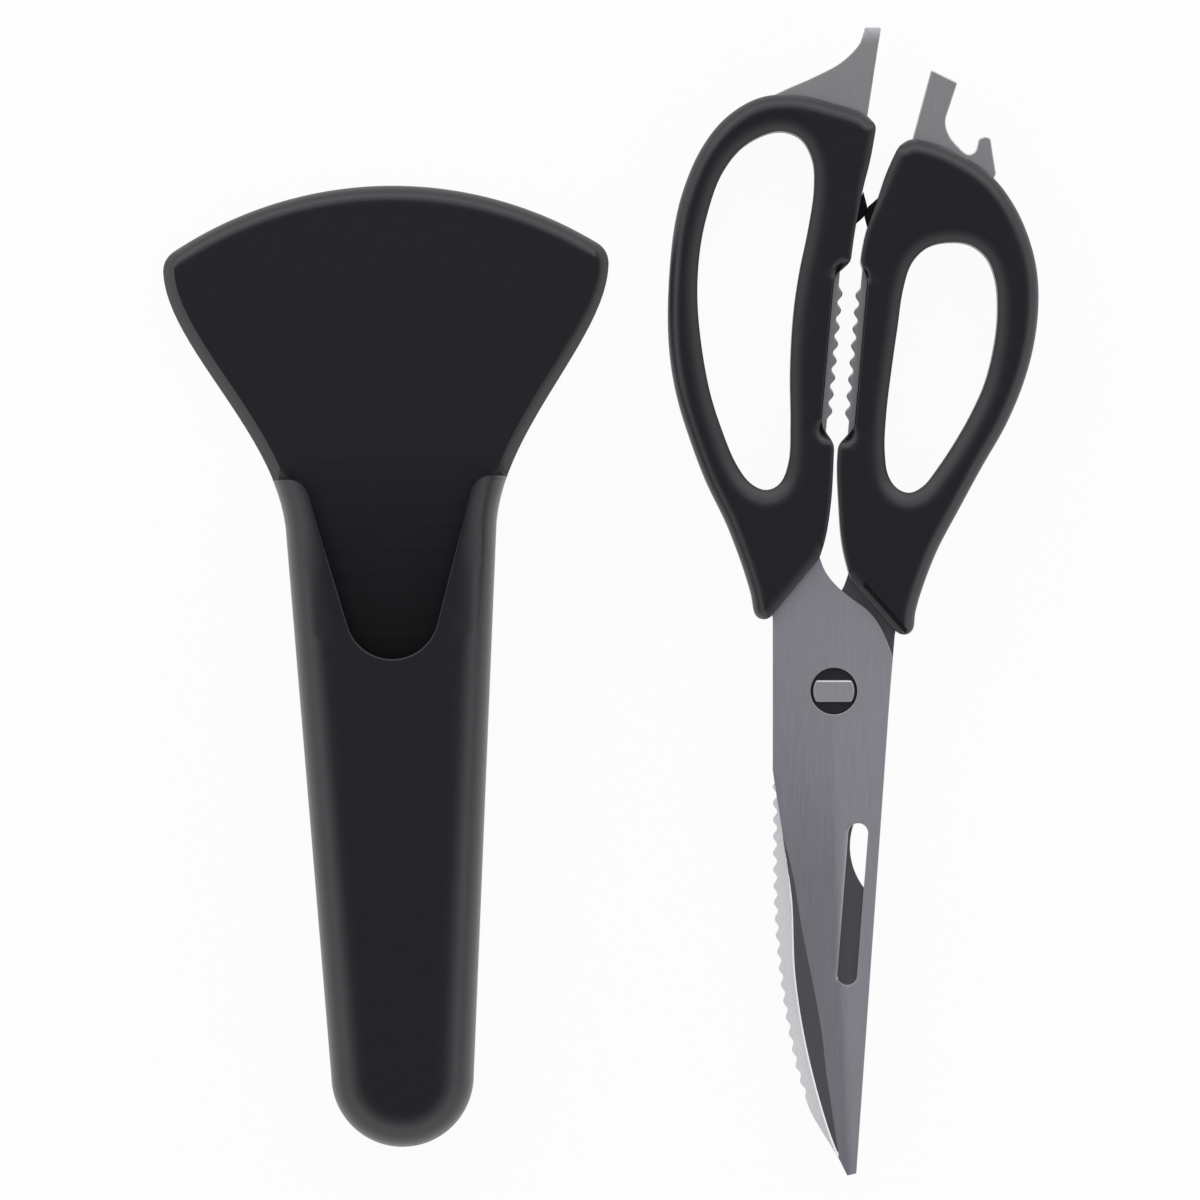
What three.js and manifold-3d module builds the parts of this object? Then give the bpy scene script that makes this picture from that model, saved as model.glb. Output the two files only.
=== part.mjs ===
// Multi-purpose kitchen scissors lying beside their magnetic holder.
// Millimetres, +Z up. Both things lie on z = 0 with their fronts facing up.
// The scissors are drawn about their pivot, handles towards +Y, and the holder about its neck.
import * as THREE from 'three';
import { mergeVertices } from 'three/addons/utils/BufferGeometryUtils.js';
import Module from 'manifold-3d';

const wasm = await Module();
wasm.setup();

// Fits and general values
const FIT = 0.3; // gap round a piece that sits in a pocket
const RUNNING_GAP = 0.1; // gap between faces that slide or turn on each other
const CURVE_STEP = 3; // length of one straight step along a smooth outline
const ROUND_STEPS = 3; // facets in a rounded edge
const CIRCLE_STEPS = 48; // facets in a full circle
const REACH = 600; // size of a cutting block that passes everything
const PAST = 1; // how far a cutter runs past the face that it opens

// Blades
const BLADE_LENGTH = 105.4; // pivot to tip
const BLADE_THICKNESS = 2.5;
const SHANK_HALF_WIDTH = 13.3; // half the width of a blade at the pivot
const SPINE_TOP = 7; // height above the pivot where the straight spine begins
const TIP_MIDDLE = 3.9; // sideways place of the blunt tip
const TIP_WIDTH = 2;
const EDGE_SETBACK = 1; // the rear cutting edge lies this far inside the front spine
// Rounded shoulder and neck, from the spine up to where the handle takes over
const SHOULDER = [[10.4, 13.6], [7.6, 17.4], [3.6, 20.4], [0.4, 23.1], [-1.9, 26.1], [-3.1, 29.1]];
// Outlines below the pivot: share of the blade's length, then sideways place
const FRONT_EDGE = [[0.163, -SHANK_HALF_WIDTH], [0.411, -9.6], [0.597, -8.6], [0.763, -5.6], [0.928, -0.6]];
const SCALER_SPINE = [[0.17, -SHANK_HALF_WIDTH], [0.479, -12.8], [0.639, -11], [0.777, -8.2], [0.88, -4.7]];
const SCALER_TAIL = [[0.954, 0.4], [0.986, 2.3]]; // plain end of the scaler spine
const SCALER_PITCH = 3.7;
const SCALER_DEPTH = 0.8;
const THUMB_DROP = 3.9; // the thumb handle sits this much lower than the finger handle

// Grinds, and the openings in the blades
const FRONT_GRIND = [[1.2, -100.6], [-9.3, -40.9]]; // line where the front bevel meets the flat
const FRONT_GRIND_ANGLE = 33;
const REAR_GRIND_WIDTH = 3;
const REAR_GRIND_ANGLE = 30;
const PEELER_TOP = [5.3, -30.9];
const PEELER_BOTTOM = [2.9, -61.8];
const PEELER_WIDTH = 4.3;
const NOTCH_BELOW_PIVOT = 33.8; // the bone notch in the rear cutting edge
const NOTCH_RADIUS = 14.8;
const NOTCH_DEPTH = 5.7;

// Tangs: the steel inside the handles
const TANG_TOP = 47;
const TANG_FOOT = 16;
const TANG_INNER = -3.9;
const TANG_WIDTH = 4;
const TANG_SHOULDER = [[-8.8, 40], [-13.6, 33], [-14.6, 24]];
const TANG_POST = [-9.6, 28]; // moulded post that passes through the tang
const POST_RADIUS = 2;
const POST_RISE = 4.5; // top of the posts above the parting plane
const POST_DEPTH = 5; // root of the posts below the parting plane

// Take-apart pivot: a stud with a bar head, which leaves through a slot when the blades stand square
const STUD_RADIUS = 3.2;
const STUD_HEAD_LENGTH = 9.2;
const STUD_HEAD_WIDTH = 5;
const STUD_HEAD_THICKNESS = 1;
const PIVOT_RECESS_RADIUS = 5.1;
const PIVOT_RECESS_DEPTH = 1.2;
const WASHER_RADIUS = 5.5;
const WASHER_THICKNESS = 0.6;
const RIVET_RADIUS = 4.2;
const RIVET_THICKNESS = 0.7;

// Handles
const HANDLE_THICKNESS = 14;
const HANDLE_ROUND = 2; // radius of the rounded edges
const HANDLE_TIP_ROUND = 2.2; // radius of the pointed lower corners, seen from the front
const FINGER_TIP = [-16.7, 12.5];
const FINGER_OUTER = [
  [-18, 21.1], [-19.9, 27.2], [-23.4, 36.4], [-27.8, 45.5], [-31.3, 54.7], [-34.1, 63.8], [-35.7, 73],
  [-36.1, 84], [-34.8, 100.4], [-32.6, 109.5], [-28.6, 118.4], [-23.4, 124.8], [-16.3, 129], [-8.4, 129.7],
  [-0.3, 127.9], [7, 125.3], [9.2, 122.8],
];
const FINGER_INNER = [
  [9.2, 122.8], [7.9, 115.6], [6.2, 108.7], [4.4, 99.1], [2.9, 87.3], [1.4, 74.3], [0.3, 61.2], [-0.1, 50.3],
  [-0.6, 41.6], [-1.7, 34], [-3.1, 29],
];
const FINGER_HOLE = [
  [-12.1, 121.7], [-19.3, 118.7], [-24.3, 112.6], [-27.6, 103.4], [-29.3, 94.3], [-29.6, 83], [-27.4, 66.9],
  [-24.7, 57.7], [-21, 48.9], [-17.8, 44.9], [-14.6, 43.7], [-11.6, 45.3], [-9.8, 49.9], [-9.4, 57.7],
  [-9.5, 69.9], [-8.8, 82.1], [-7.5, 91.2], [-5.6, 100.4], [-4.3, 109.5], [-4.7, 115.6], [-7.3, 120.2],
];
const THUMB_TIP = [17.2, 8.9];
const THUMB_OUTER = [
  [17.6, 16.8], [18.8, 21.1], [22.3, 30.3], [27.1, 39.4], [32.1, 48.6], [37.3, 57.7], [41.2, 66.9],
  [43.6, 76], [44.5, 85.1], [43.9, 92.8], [41.7, 100.4], [38.4, 106.9], [34.1, 112.2], [27.5, 116.7],
  [21, 119.4], [16.6, 120], [14, 118.4],
];
const THUMB_INNER = [
  [14, 118.4], [11.4, 112.6], [9.3, 106.3], [6.8, 99.1], [5, 87.3], [3.5, 74.3], [2, 61.2], [0.8, 50.4],
  [1, 41.6], [1.8, 31.8], [3.6, 24.2],
];
const THUMB_HOLE = [
  [26, 97.6], [20.6, 96.6], [16.9, 93], [15, 87.2], [13.8, 79.1], [12.5, 69.9], [11.4, 60.8], [11, 52.5],
  [11.8, 46.8], [13.8, 44], [16.4, 43.1], [19.5, 44.6], [22.7, 48.6], [26.7, 54.7], [30.1, 60.8],
  [32.8, 66.9], [34.7, 74.3], [35.6, 82.1], [35.1, 89.5], [33.2, 94.2], [29.9, 96.9],
];

// Nutcracker jaws: toothed steel strips along the facing edges of the handles
const JAW_MIDDLE = [2.2, 73.5];
const JAW_LEAN = 5; // degrees from +Y towards +X
const JAW_GAP = 4.8; // between the roots of facing teeth
const JAW_LENGTH = 39;
const JAW_SHOWN = 1.2; // plain steel between the teeth and the plastic
const JAW_ROOT = 3; // depth that sits in the handle
const JAW_TEETH = 8;
const JAW_PITCH = 3.66;
const JAW_TOOTH_DEPTH = 1;

// Closing bumpers
const BUMPER_MIDDLE = [7, 104.3];
const BUMPER_LEAN = 17;
const BUMPER_GAP = 0.3; // between the closed bumpers
const BUMPER_NOSE = 2.2; // length of the face that meets the other bumper
const BUMPER_FOOT = 8; // length where the nose leaves the handle
const BUMPER_HEIGHT = 1.7;
const BUMPER_TAIL_LENGTH = 4;
const BUMPER_TAIL_DEPTH = 3;
const BUMPER_THICKNESS = 7;

// End tools: a pry and screwdriver tip on the finger handle, a cap lifter on the thumb handle
const TOOL_THICKNESS = 2.5;
const PRY_CURVE = [[6.8, 144.4], [5.7, 141.1], [1.8, 137], [-3.8, 133.9], [-10.6, 130.9]];
const PRY_TANG = [[-11, 126], [-3.4, 124], [-0.6, 114], [5.3, 114]];
const PRY_EDGE = [[7.5, 126.1], [10.3, 144.4]];
const PRY_POST = [2, 119];
const LIFTER_NOTCH = [
  [26.9, 132.4], [25.4, 127.8], [24.3, 123.9], [25, 121.2], [26.6, 119], [29.3, 116.8], [30.8, 117.5],
  [31.6, 120.2],
];
const LIFTER_EDGE = [[33, 120.7], [34.1, 120.3], [34.7, 116.3], [35.3, 112.6]];
const LIFTER_TANG = [[32.4, 106], [15.4, 104], [15.2, 113]];
const LIFTER_CORNER = [21.2, 135.2];
const TOOL_POST_RADIUS = 1.6;
const LIFTER_POST = [22.5, 110];

// Holder, drawn about the middle of its neck with its pocket towards -Y
const HOLDER_PLACE = [-96.5, 41.6]; // from the pivot
const HOLDER_TILT = 1.2; // degrees
const FAN_TOP = 68.6;
const FAN_CORNER = [48.6, 53.6];
const FAN_CORNER_ROUND = 3;
const FAN_FLARE = [[48, 34], [23.2, 14]]; // handles of the curve from the corner to the neck
const NECK = [22.8, -8];
const SHEATH_END = [15.5, -125.4]; // where the straight side meets the round end
const BACK_THICKNESS = 5;
const BACK_ROUND = 2.2;
const POCKET_DEPTH = 10;
const FRONT_WALL = 2;
const SIDE_WALL = 2;
const COVER_ROUND = 9;
const COVER_TOP = 4.8;
const MOUTH_HALF_WIDTH = 18.6; // half the width of the cut in the cover, at its top
const MOUTH_DEPTH = 39.4;
const MOUTH_ROUND = 10;
const MOUTH_LIP_ROUND = 5; // where the cut meets the top of the cover
const REAR_COVER_THICKNESS = 1.2;
const REAR_RIM = 5; // border of the back plate round its rear cover
const MAGNET_LENGTH = 30;
const MAGNET_WIDTH = 10;
const MAGNET_THICKNESS = 2.4;
const UPPER_MAGNET = [22, 40];
const LOWER_MAGNET = [0, -62];

// Levels worked out from the sizes above
const MID = HANDLE_THICKNESS / 2; // the plane where the two blades meet
const FRONT_BLADE_LOW = MID + RUNNING_GAP / 2;
const FRONT_BLADE_TOP = FRONT_BLADE_LOW + BLADE_THICKNESS;
const REAR_BLADE_TOP = MID - RUNNING_GAP / 2;
const REAR_BLADE_LOW = REAR_BLADE_TOP - BLADE_THICKNESS;
const HOLDER_HEIGHT = BACK_THICKNESS + POCKET_DEPTH + FRONT_WALL;

const STEEL = { color: 0x8b8b90, roughness: 0.35, metalness: 1 };
const BRIGHT_STEEL = { color: 0xc8c8cc, roughness: 0.3, metalness: 1 };
const BLACK_PLASTIC = { color: 0x242427, roughness: 0.5, metalness: 0 };
const BLACK_RUBBER = { color: 0x151517, roughness: 0.8, metalness: 0 };
const MAGNET_FERRITE = { color: 0x3a3a3e, roughness: 0.6, metalness: 0.4 };

// Solids: closed geometries become manifolds for joining and cutting

function solid(geometry) {
  const bare = new THREE.BufferGeometry();
  bare.setAttribute('position', geometry.getAttribute('position'));
  bare.setIndex(geometry.getIndex());
  const merged = mergeVertices(bare);
  const corners = merged.getIndex().array;
  const triangles = [];
  for (let i = 0; i < corners.length; i += 3) {
    const triangle = [...corners.slice(i, i + 3)];
    if (new Set(triangle).size === 3) triangles.push(...triangle);
  }
  return new wasm.Manifold(new wasm.Mesh({
    numProp: 3,
    vertProperties: merged.getAttribute('position').array,
    triVerts: new Uint32Array(triangles),
  }));
}

function geometryOf(manifold) {
  const made = manifold.getMesh();
  const geometry = new THREE.BufferGeometry();
  geometry.setAttribute('position', new THREE.BufferAttribute(new Float32Array(made.vertProperties), 3));
  geometry.setIndex(new THREE.BufferAttribute(new Uint32Array(made.triVerts), 1));
  geometry.computeVertexNormals();
  return geometry;
}

const cut = (body, ...tools) => tools.reduce((left, tool) => left.subtract(tool), body);
const join = (body, ...others) => others.reduce((sum, other) => sum.add(other), body);

// Outlines: lists of [x, y]

function curveThrough(points, closed) {
  const spots = points.map(([x, y]) => new THREE.Vector3(x, y, 0));
  return new THREE.CatmullRomCurve3(spots, closed, 'centripetal');
}

function smooth(points, step = CURVE_STEP) {
  const curve = curveThrough(points, false);
  return curve.getSpacedPoints(Math.ceil(curve.getLength() / step)).map((p) => [p.x, p.y]);
}

function smoothLoop(points, step = CURVE_STEP) {
  const curve = curveThrough(points, true);
  return curve.getSpacedPoints(Math.ceil(curve.getLength() / step)).slice(0, -1).map((p) => [p.x, p.y]);
}

// A round corner between two straight edges
function rounded(corner, before, after, radius) {
  const at = new THREE.Vector2(...corner);
  const a = new THREE.Vector2(...before).sub(at).normalize();
  const b = new THREE.Vector2(...after).sub(at).normalize();
  const half = Math.acos(a.dot(b)) / 2;
  const middle = a.clone().add(b).normalize().multiplyScalar(radius / Math.sin(half)).add(at);
  const start = a.multiplyScalar(radius / Math.tan(half)).add(at).sub(middle);
  const turn = Math.sign(start.cross(at.clone().sub(middle))) * (Math.PI - 2 * half);
  const steps = Math.ceil((Math.abs(turn) / (2 * Math.PI)) * CIRCLE_STEPS / 2);
  const spot = (i) => start.clone().rotateAround(new THREE.Vector2(), (turn * i) / steps).add(middle);
  return Array.from({ length: steps + 1 }, (_, i) => spot(i).toArray());
}

const mirrored = (points, drop = 0) => points.map(([x, y]) => [-x, y - drop]).reverse();

const shapeOf = (points) => new THREE.Shape(points.map(([x, y]) => new THREE.Vector2(x, y)));

// The outline moved outwards by a distance, or inwards by a negative one.
function grown(points, distance) {
  const out = distance * (THREE.ShapeUtils.area(shapeOf(points).getPoints()) > 0 ? 1 : -1);
  return points.map((point, i) => {
    const before = points[(i + points.length - 1) % points.length];
    const after = points[(i + 1) % points.length];
    const a = new THREE.Vector2(point[1] - before[1], before[0] - point[0]).normalize();
    const b = new THREE.Vector2(after[1] - point[1], point[0] - after[0]).normalize();
    const middle = a.clone().add(b).normalize();
    const reach = out / Math.max(middle.dot(a), 0.5);
    return [point[0] + middle.x * reach, point[1] + middle.y * reach];
  });
}

// A list of [along, across] placed at a middle point and leaning from +Y towards +X.
// Across runs towards +X on the finger side (-1) and towards -X on the thumb side (+1).
function placed(points, middle, lean, side) {
  const sin = Math.sin(THREE.MathUtils.degToRad(lean));
  const cos = Math.cos(THREE.MathUtils.degToRad(lean));
  return points.map(([along, across]) => {
    const x = -side * across;
    return [middle[0] + x * cos + along * sin, middle[1] - x * sin + along * cos];
  });
}

// Plates and round pieces

function plate(outline, low, high) {
  const geometry = new THREE.ExtrudeGeometry(shapeOf(outline), { depth: high - low, bevelEnabled: false });
  return solid(geometry.translate(0, 0, low));
}

function block(corner, opposite) {
  const low = new THREE.Vector3(...corner).min(new THREE.Vector3(...opposite));
  const high = new THREE.Vector3(...corner).max(new THREE.Vector3(...opposite));
  const size = high.clone().sub(low);
  const middle = high.add(low).multiplyScalar(0.5);
  return solid(new THREE.BoxGeometry(size.x, size.y, size.z).translate(middle.x, middle.y, middle.z));
}

const slab = (low, high) => block([-REACH, -REACH, low], [REACH, REACH, high]);

function disc(middle, radius, low, high) {
  const geometry = new THREE.CylinderGeometry(radius, radius, high - low, CIRCLE_STEPS);
  return solid(geometry.rotateX(Math.PI / 2).translate(middle[0], middle[1], (low + high) / 2));
}

// A solid of revolution about the pivot. Its profile of [radius, height] begins and ends on the axis.
function revolved(profile) {
  const points = profile.map(([radius, height]) => new THREE.Vector2(radius, height));
  return solid(new THREE.LatheGeometry(points, CIRCLE_STEPS).rotateX(Math.PI / 2));
}

// A plate with a square edge at `flat` and a rounded edge at `crown`, which may be above or below it.
function crowned(outline, holes, flat, crown, round) {
  const rise = Math.abs(crown - flat);
  const shape = shapeOf(outline);
  shape.holes = holes.map((hole) => new THREE.Path(hole.map(([x, y]) => new THREE.Vector2(x, y))));
  const geometry = new THREE.ExtrudeGeometry(shape, {
    depth: 2 * (rise - round),
    bevelThickness: round,
    bevelSize: round,
    bevelOffset: -round,
    bevelSegments: ROUND_STEPS,
  });
  const both = solid(geometry.translate(0, 0, flat - rise + round));
  return both.intersect(slab(Math.min(flat, crown), Math.max(flat, crown)));
}

// A wedge that grinds a flat bevel to the left of the line from one point to another.
// The bevel starts at level z and falls towards `side`: -1 on an upper face, +1 on a lower face.
function grind(from, to, z, angle, side) {
  const start = new THREE.Vector3(...from, z);
  const along = new THREE.Vector3(...to, z).sub(start);
  const length = along.length();
  const drop = side * BLADE_THICKNESS * 4;
  const width = Math.abs(drop) / Math.tan(THREE.MathUtils.degToRad(angle));
  const section = shapeOf([[0, 0], [width, drop], [width, -drop], [0, -drop]]);
  const geometry = new THREE.ExtrudeGeometry(section, { depth: length * 2, bevelEnabled: false });
  geometry.translate(0, 0, -length / 2);
  const direction = along.normalize();
  const left = new THREE.Vector3(-direction.y, direction.x, 0);
  const frame = new THREE.Matrix4().makeBasis(left, new THREE.Vector3(0, 0, 1), direction);
  return solid(geometry.applyMatrix4(frame.setPosition(start)));
}

// The room that a plate needs in the piece that holds it
const pocket = (outline, low, high) => plate(grown(outline, FIT), low - FIT, high + FIT);

// Blades

const belowPivot = (points) => points.map(([share, x]) => [x, -share * BLADE_LENGTH]);

const tipRight = [TIP_MIDDLE + TIP_WIDTH / 2, -BLADE_LENGTH + TIP_WIDTH / 4];
const tipLeft = [TIP_MIDDLE - TIP_WIDTH / 2, -BLADE_LENGTH];
const spineTop = [SHANK_HALF_WIDTH, SPINE_TOP];

function spineAt(y) {
  const share = (spineTop[1] - y) / (spineTop[1] - tipRight[1]);
  return spineTop[0] + (tipRight[0] - spineTop[0]) * share;
}

const neck = smooth([spineTop, ...SHOULDER]);
const tang = [
  [TANG_INNER, TANG_TOP - TANG_WIDTH * 3],
  [TANG_INNER, TANG_TOP],
  [TANG_INNER - TANG_WIDTH, TANG_TOP],
  ...TANG_SHOULDER,
  [-SHANK_HALF_WIDTH, TANG_FOOT],
];

const frontBladeOutline = [
  tipRight,
  ...neck,
  ...tang,
  ...smooth([...belowPivot(FRONT_EDGE), tipLeft]),
];

function scalerTeeth() {
  const points = belowPivot(SCALER_SPINE).map(([x, y]) => new THREE.Vector2(x, y));
  const curve = new THREE.SplineCurve(points);
  const count = Math.round(curve.getLength() / SCALER_PITCH);
  return curve.getSpacedPoints(2 * count).map((point, i) => {
    const along = curve.getTangentAt(i / (2 * count));
    const depth = i % 2 ? SCALER_DEPTH : 0;
    return [point.x - along.y * depth, point.y + along.x * depth];
  });
}

const thumbPost = [-TANG_POST[0], TANG_POST[1] - THUMB_DROP];
const rearTip = [TIP_MIDDLE + TIP_WIDTH / 2 - EDGE_SETBACK / 2, tipRight[1] + TIP_WIDTH / 4];
const rearBladeOutline = [
  rearTip,
  [spineAt(0) - EDGE_SETBACK / 2, 0],
  ...mirrored(tang, THUMB_DROP),
  ...mirrored(neck, THUMB_DROP),
  ...scalerTeeth(),
  ...smooth([...belowPivot(SCALER_TAIL), [tipLeft[0], rearTip[1]]]),
];

function peelerSlot() {
  const [top, bottom] = [PEELER_TOP, PEELER_BOTTOM].map(([x, y]) => new THREE.Vector2(x, y));
  const lean = top.clone().sub(bottom).angle();
  const end = (middle, from) => {
    const arc = new THREE.ArcCurve(middle.x, middle.y, PEELER_WIDTH / 2, from, from + Math.PI, false);
    return arc.getPoints(CIRCLE_STEPS / 4).map((p) => [p.x, p.y]);
  };
  return [...end(top, lean - Math.PI / 2), ...end(bottom, lean + Math.PI / 2)];
}

// A bar with ends on a circle, as the stud's head has: length along X at angle 0
function barHead(length, width, low, high, angle) {
  const round = disc([0, 0], length / 2, low, high);
  const bar = block([-length, -width / 2, low], [length, width / 2, high]);
  return round.intersect(bar).rotate([0, 0, angle]);
}

function frontBlade() {
  const recessFloor = FRONT_BLADE_TOP - PIVOT_RECESS_DEPTH;
  const keySlot = barHead(
    STUD_HEAD_LENGTH + 2 * FIT, STUD_HEAD_WIDTH + 2 * FIT, FRONT_BLADE_LOW - PAST, FRONT_BLADE_TOP, 90,
  );
  return cut(
    plate(frontBladeOutline, FRONT_BLADE_LOW, FRONT_BLADE_TOP),
    disc([0, 0], PIVOT_RECESS_RADIUS, recessFloor, FRONT_BLADE_TOP + PAST),
    disc([0, 0], STUD_RADIUS + RUNNING_GAP, FRONT_BLADE_LOW - PAST, FRONT_BLADE_TOP),
    keySlot,
    plate(peelerSlot(), FRONT_BLADE_LOW - PAST, FRONT_BLADE_TOP + PAST),
    disc(TANG_POST, POST_RADIUS + FIT, FRONT_BLADE_LOW - PAST, FRONT_BLADE_TOP + PAST),
    grind(...FRONT_GRIND, FRONT_BLADE_TOP, FRONT_GRIND_ANGLE, -1),
  );
}

function rearBlade() {
  const edgeX = spineAt(-NOTCH_BELOW_PIVOT) - EDGE_SETBACK;
  const notchMiddle = [edgeX - NOTCH_DEPTH + NOTCH_RADIUS, -NOTCH_BELOW_PIVOT];
  const grindTop = [spineAt(-NOTCH_BELOW_PIVOT) - REAR_GRIND_WIDTH, -NOTCH_BELOW_PIVOT];
  const grindTip = [rearTip[0], rearTip[1]];
  return cut(
    plate(rearBladeOutline, REAR_BLADE_LOW, REAR_BLADE_TOP),
    disc([0, 0], STUD_RADIUS + FIT, REAR_BLADE_LOW - PAST, REAR_BLADE_TOP + PAST),
    disc(notchMiddle, NOTCH_RADIUS, REAR_BLADE_LOW - PAST, REAR_BLADE_TOP + PAST),
    disc(thumbPost, POST_RADIUS + FIT, REAR_BLADE_LOW - PAST, REAR_BLADE_TOP + PAST),
    grind(grindTop, grindTip, REAR_BLADE_LOW, REAR_GRIND_ANGLE, 1),
  );
}

// Pivot

const washerLow = REAR_BLADE_LOW - WASHER_THICKNESS;

function pivotStud() {
  const headLow = FRONT_BLADE_TOP - PIVOT_RECESS_DEPTH + RUNNING_GAP;
  const headHigh = headLow + STUD_HEAD_THICKNESS;
  const rivetLow = washerLow - RIVET_THICKNESS;
  const flank = (side) => block(
    [-STUD_HEAD_LENGTH, side * STUD_HEAD_LENGTH, headLow - RUNNING_GAP],
    [STUD_HEAD_LENGTH, (side * STUD_HEAD_WIDTH) / 2, headHigh + PAST],
  );
  const turned = revolved([
    [0, rivetLow],
    [RIVET_RADIUS, rivetLow],
    [RIVET_RADIUS, washerLow],
    [STUD_RADIUS, washerLow],
    [STUD_RADIUS, headLow],
    [STUD_HEAD_LENGTH / 2, headLow],
    [STUD_HEAD_LENGTH / 2, headHigh],
    [0, headHigh],
  ]);
  return cut(turned, flank(1), flank(-1));
}

function pivotWasher() {
  return cut(
    disc([0, 0], WASHER_RADIUS, washerLow, REAR_BLADE_LOW),
    disc([0, 0], STUD_RADIUS + FIT, washerLow - PAST, REAR_BLADE_LOW + PAST),
  );
}

// Jaws, bumpers and end tools, each an outline and the levels that it fills

const jawLow = MID - TOOL_THICKNESS / 2;
const jawHigh = MID + TOOL_THICKNESS / 2;

function jawOutline(side) {
  const root = -JAW_GAP / 2;
  const back = root - JAW_SHOWN - JAW_ROOT;
  const end = JAW_LENGTH / 2;
  const points = [[-end, root], [-end, back], [end, back], [end, root]];
  for (let i = JAW_TEETH - 1; i >= 0; i -= 1) {
    const along = (i - (JAW_TEETH - 1) / 2) * JAW_PITCH;
    points.push([along + JAW_PITCH / 2, root], [along, root + JAW_TOOTH_DEPTH]);
  }
  points.push([-(JAW_TEETH * JAW_PITCH) / 2, root]);
  return placed(points, JAW_MIDDLE, JAW_LEAN, side);
}

// The stretch of handle that is cut away in front of a jaw
function jawWindow(side) {
  const back = -JAW_GAP / 2 - JAW_SHOWN;
  const half = JAW_LENGTH / 2 + FIT;
  const points = [[-half, back], [half, back], [half, JAW_LENGTH], [-half, JAW_LENGTH]];
  return placed(points, JAW_MIDDLE, JAW_LEAN, side);
}

function bumperOutline(side) {
  const face = -BUMPER_GAP / 2;
  const foot = face - BUMPER_HEIGHT;
  const tail = foot - BUMPER_TAIL_DEPTH;
  const half = [
    [BUMPER_TAIL_LENGTH / 2, tail],
    [BUMPER_TAIL_LENGTH / 2, foot],
    [BUMPER_FOOT / 2, foot],
    [BUMPER_NOSE / 2, face],
  ];
  const other = half.map(([along, across]) => [-along, across]).reverse();
  return placed([...half, ...other], BUMPER_MIDDLE, BUMPER_LEAN, side);
}

const bumperLow = MID - BUMPER_THICKNESS / 2;
const bumperHigh = MID + BUMPER_THICKNESS / 2;

const pryOutline = [...smooth(PRY_CURVE), ...PRY_TANG, ...PRY_EDGE];
const lifterOutline = [
  LIFTER_CORNER,
  ...smooth(LIFTER_NOTCH, CURVE_STEP / 2),
  ...LIFTER_EDGE,
  ...LIFTER_TANG,
];

const endTool = (outline, post) => cut(
  plate(outline, jawLow, jawHigh),
  disc(post, TOOL_POST_RADIUS + FIT, jawLow - PAST, jawHigh + PAST),
);

// Handles: two shells that meet on the blade plane and hold the steel between them

const handleOutline = (tip, outer, inner) => [
  ...rounded(tip, inner.at(-1), outer[0], HANDLE_TIP_ROUND),
  ...smooth(outer),
  ...smooth(inner).slice(1),
];

const fingerHandle = {
  side: -1,
  outline: handleOutline(FINGER_TIP, FINGER_OUTER, FINGER_INNER),
  hole: smoothLoop(FINGER_HOLE),
  blade: pocket(frontBladeOutline, FRONT_BLADE_LOW, FRONT_BLADE_TOP),
  tool: pocket(pryOutline, jawLow, jawHigh),
  posts: [[TANG_POST, POST_RADIUS], [PRY_POST, TOOL_POST_RADIUS]],
};

const thumbHandle = {
  side: 1,
  outline: handleOutline(THUMB_TIP, THUMB_OUTER, THUMB_INNER),
  hole: smoothLoop(THUMB_HOLE),
  blade: pocket(rearBladeOutline, REAR_BLADE_LOW, REAR_BLADE_TOP),
  tool: pocket(lifterOutline, jawLow, jawHigh),
  posts: [[thumbPost, POST_RADIUS], [LIFTER_POST, TOOL_POST_RADIUS]],
};

function handleShell(handle, crown) {
  return cut(
    crowned(handle.outline, [handle.hole], MID, crown, HANDLE_ROUND),
    handle.blade,
    handle.tool,
    pocket(jawOutline(handle.side), jawLow, jawHigh),
    plate(jawWindow(handle.side), -PAST, HANDLE_THICKNESS + PAST),
    pocket(bumperOutline(handle.side), bumperLow, bumperHigh),
  );
}

const postSockets = (handle) => handle.posts.map(
  ([at, radius]) => disc(at, radius + FIT, MID - PAST, MID + POST_RISE + FIT),
);
const posts = (handle) => handle.posts.map(
  ([at, radius]) => disc(at, radius, MID - POST_DEPTH, MID + POST_RISE),
);

const frontShell = (handle) => cut(handleShell(handle, HANDLE_THICKNESS), ...postSockets(handle));
const rearShell = (handle) => join(handleShell(handle, 0), ...posts(handle));

// Holder

// The right side of the holder's outline from its foot to its top, or the same drawn a distance inside it
function holderSide(inset) {
  const inwards = ([x, y]) => [x - inset, y];
  const top = FAN_TOP - inset;
  const corner = [FAN_CORNER[0] - inset, FAN_CORNER[1] - inset];
  const arcRadius = (corner[0] ** 2 + (top - corner[1]) ** 2) / (2 * (top - corner[1]));
  const arcMiddle = top - arcRadius;
  const arcStart = Math.atan2(corner[1] - arcMiddle, corner[0]) + FAN_CORNER_ROUND / arcRadius;
  const shape = new THREE.Path();
  shape.absarc(0, SHEATH_END[1], SHEATH_END[0] - inset, -Math.PI / 2, 0, false);
  shape.lineTo(...inwards(NECK));
  shape.bezierCurveTo(
    ...inwards(FAN_FLARE[1]), ...inwards(FAN_FLARE[0]), corner[0], corner[1] - FAN_CORNER_ROUND,
  );
  const arcFoot = [arcRadius * Math.cos(arcStart), arcMiddle + arcRadius * Math.sin(arcStart)];
  shape.quadraticCurveTo(...corner, ...arcFoot);
  shape.absarc(0, arcMiddle, arcRadius, arcStart, Math.PI / 2, false);
  const side = shape.getPoints(10).map((p) => [p.x, p.y]);
  return side.filter((p, i) => i === 0 || Math.hypot(p[0] - side[i - 1][0], p[1] - side[i - 1][1]) > FIT);
}

function holderOutline(inset = 0) {
  const side = holderSide(inset);
  return [...side, ...mirrored(side.slice(1, -1))];
}

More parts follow.
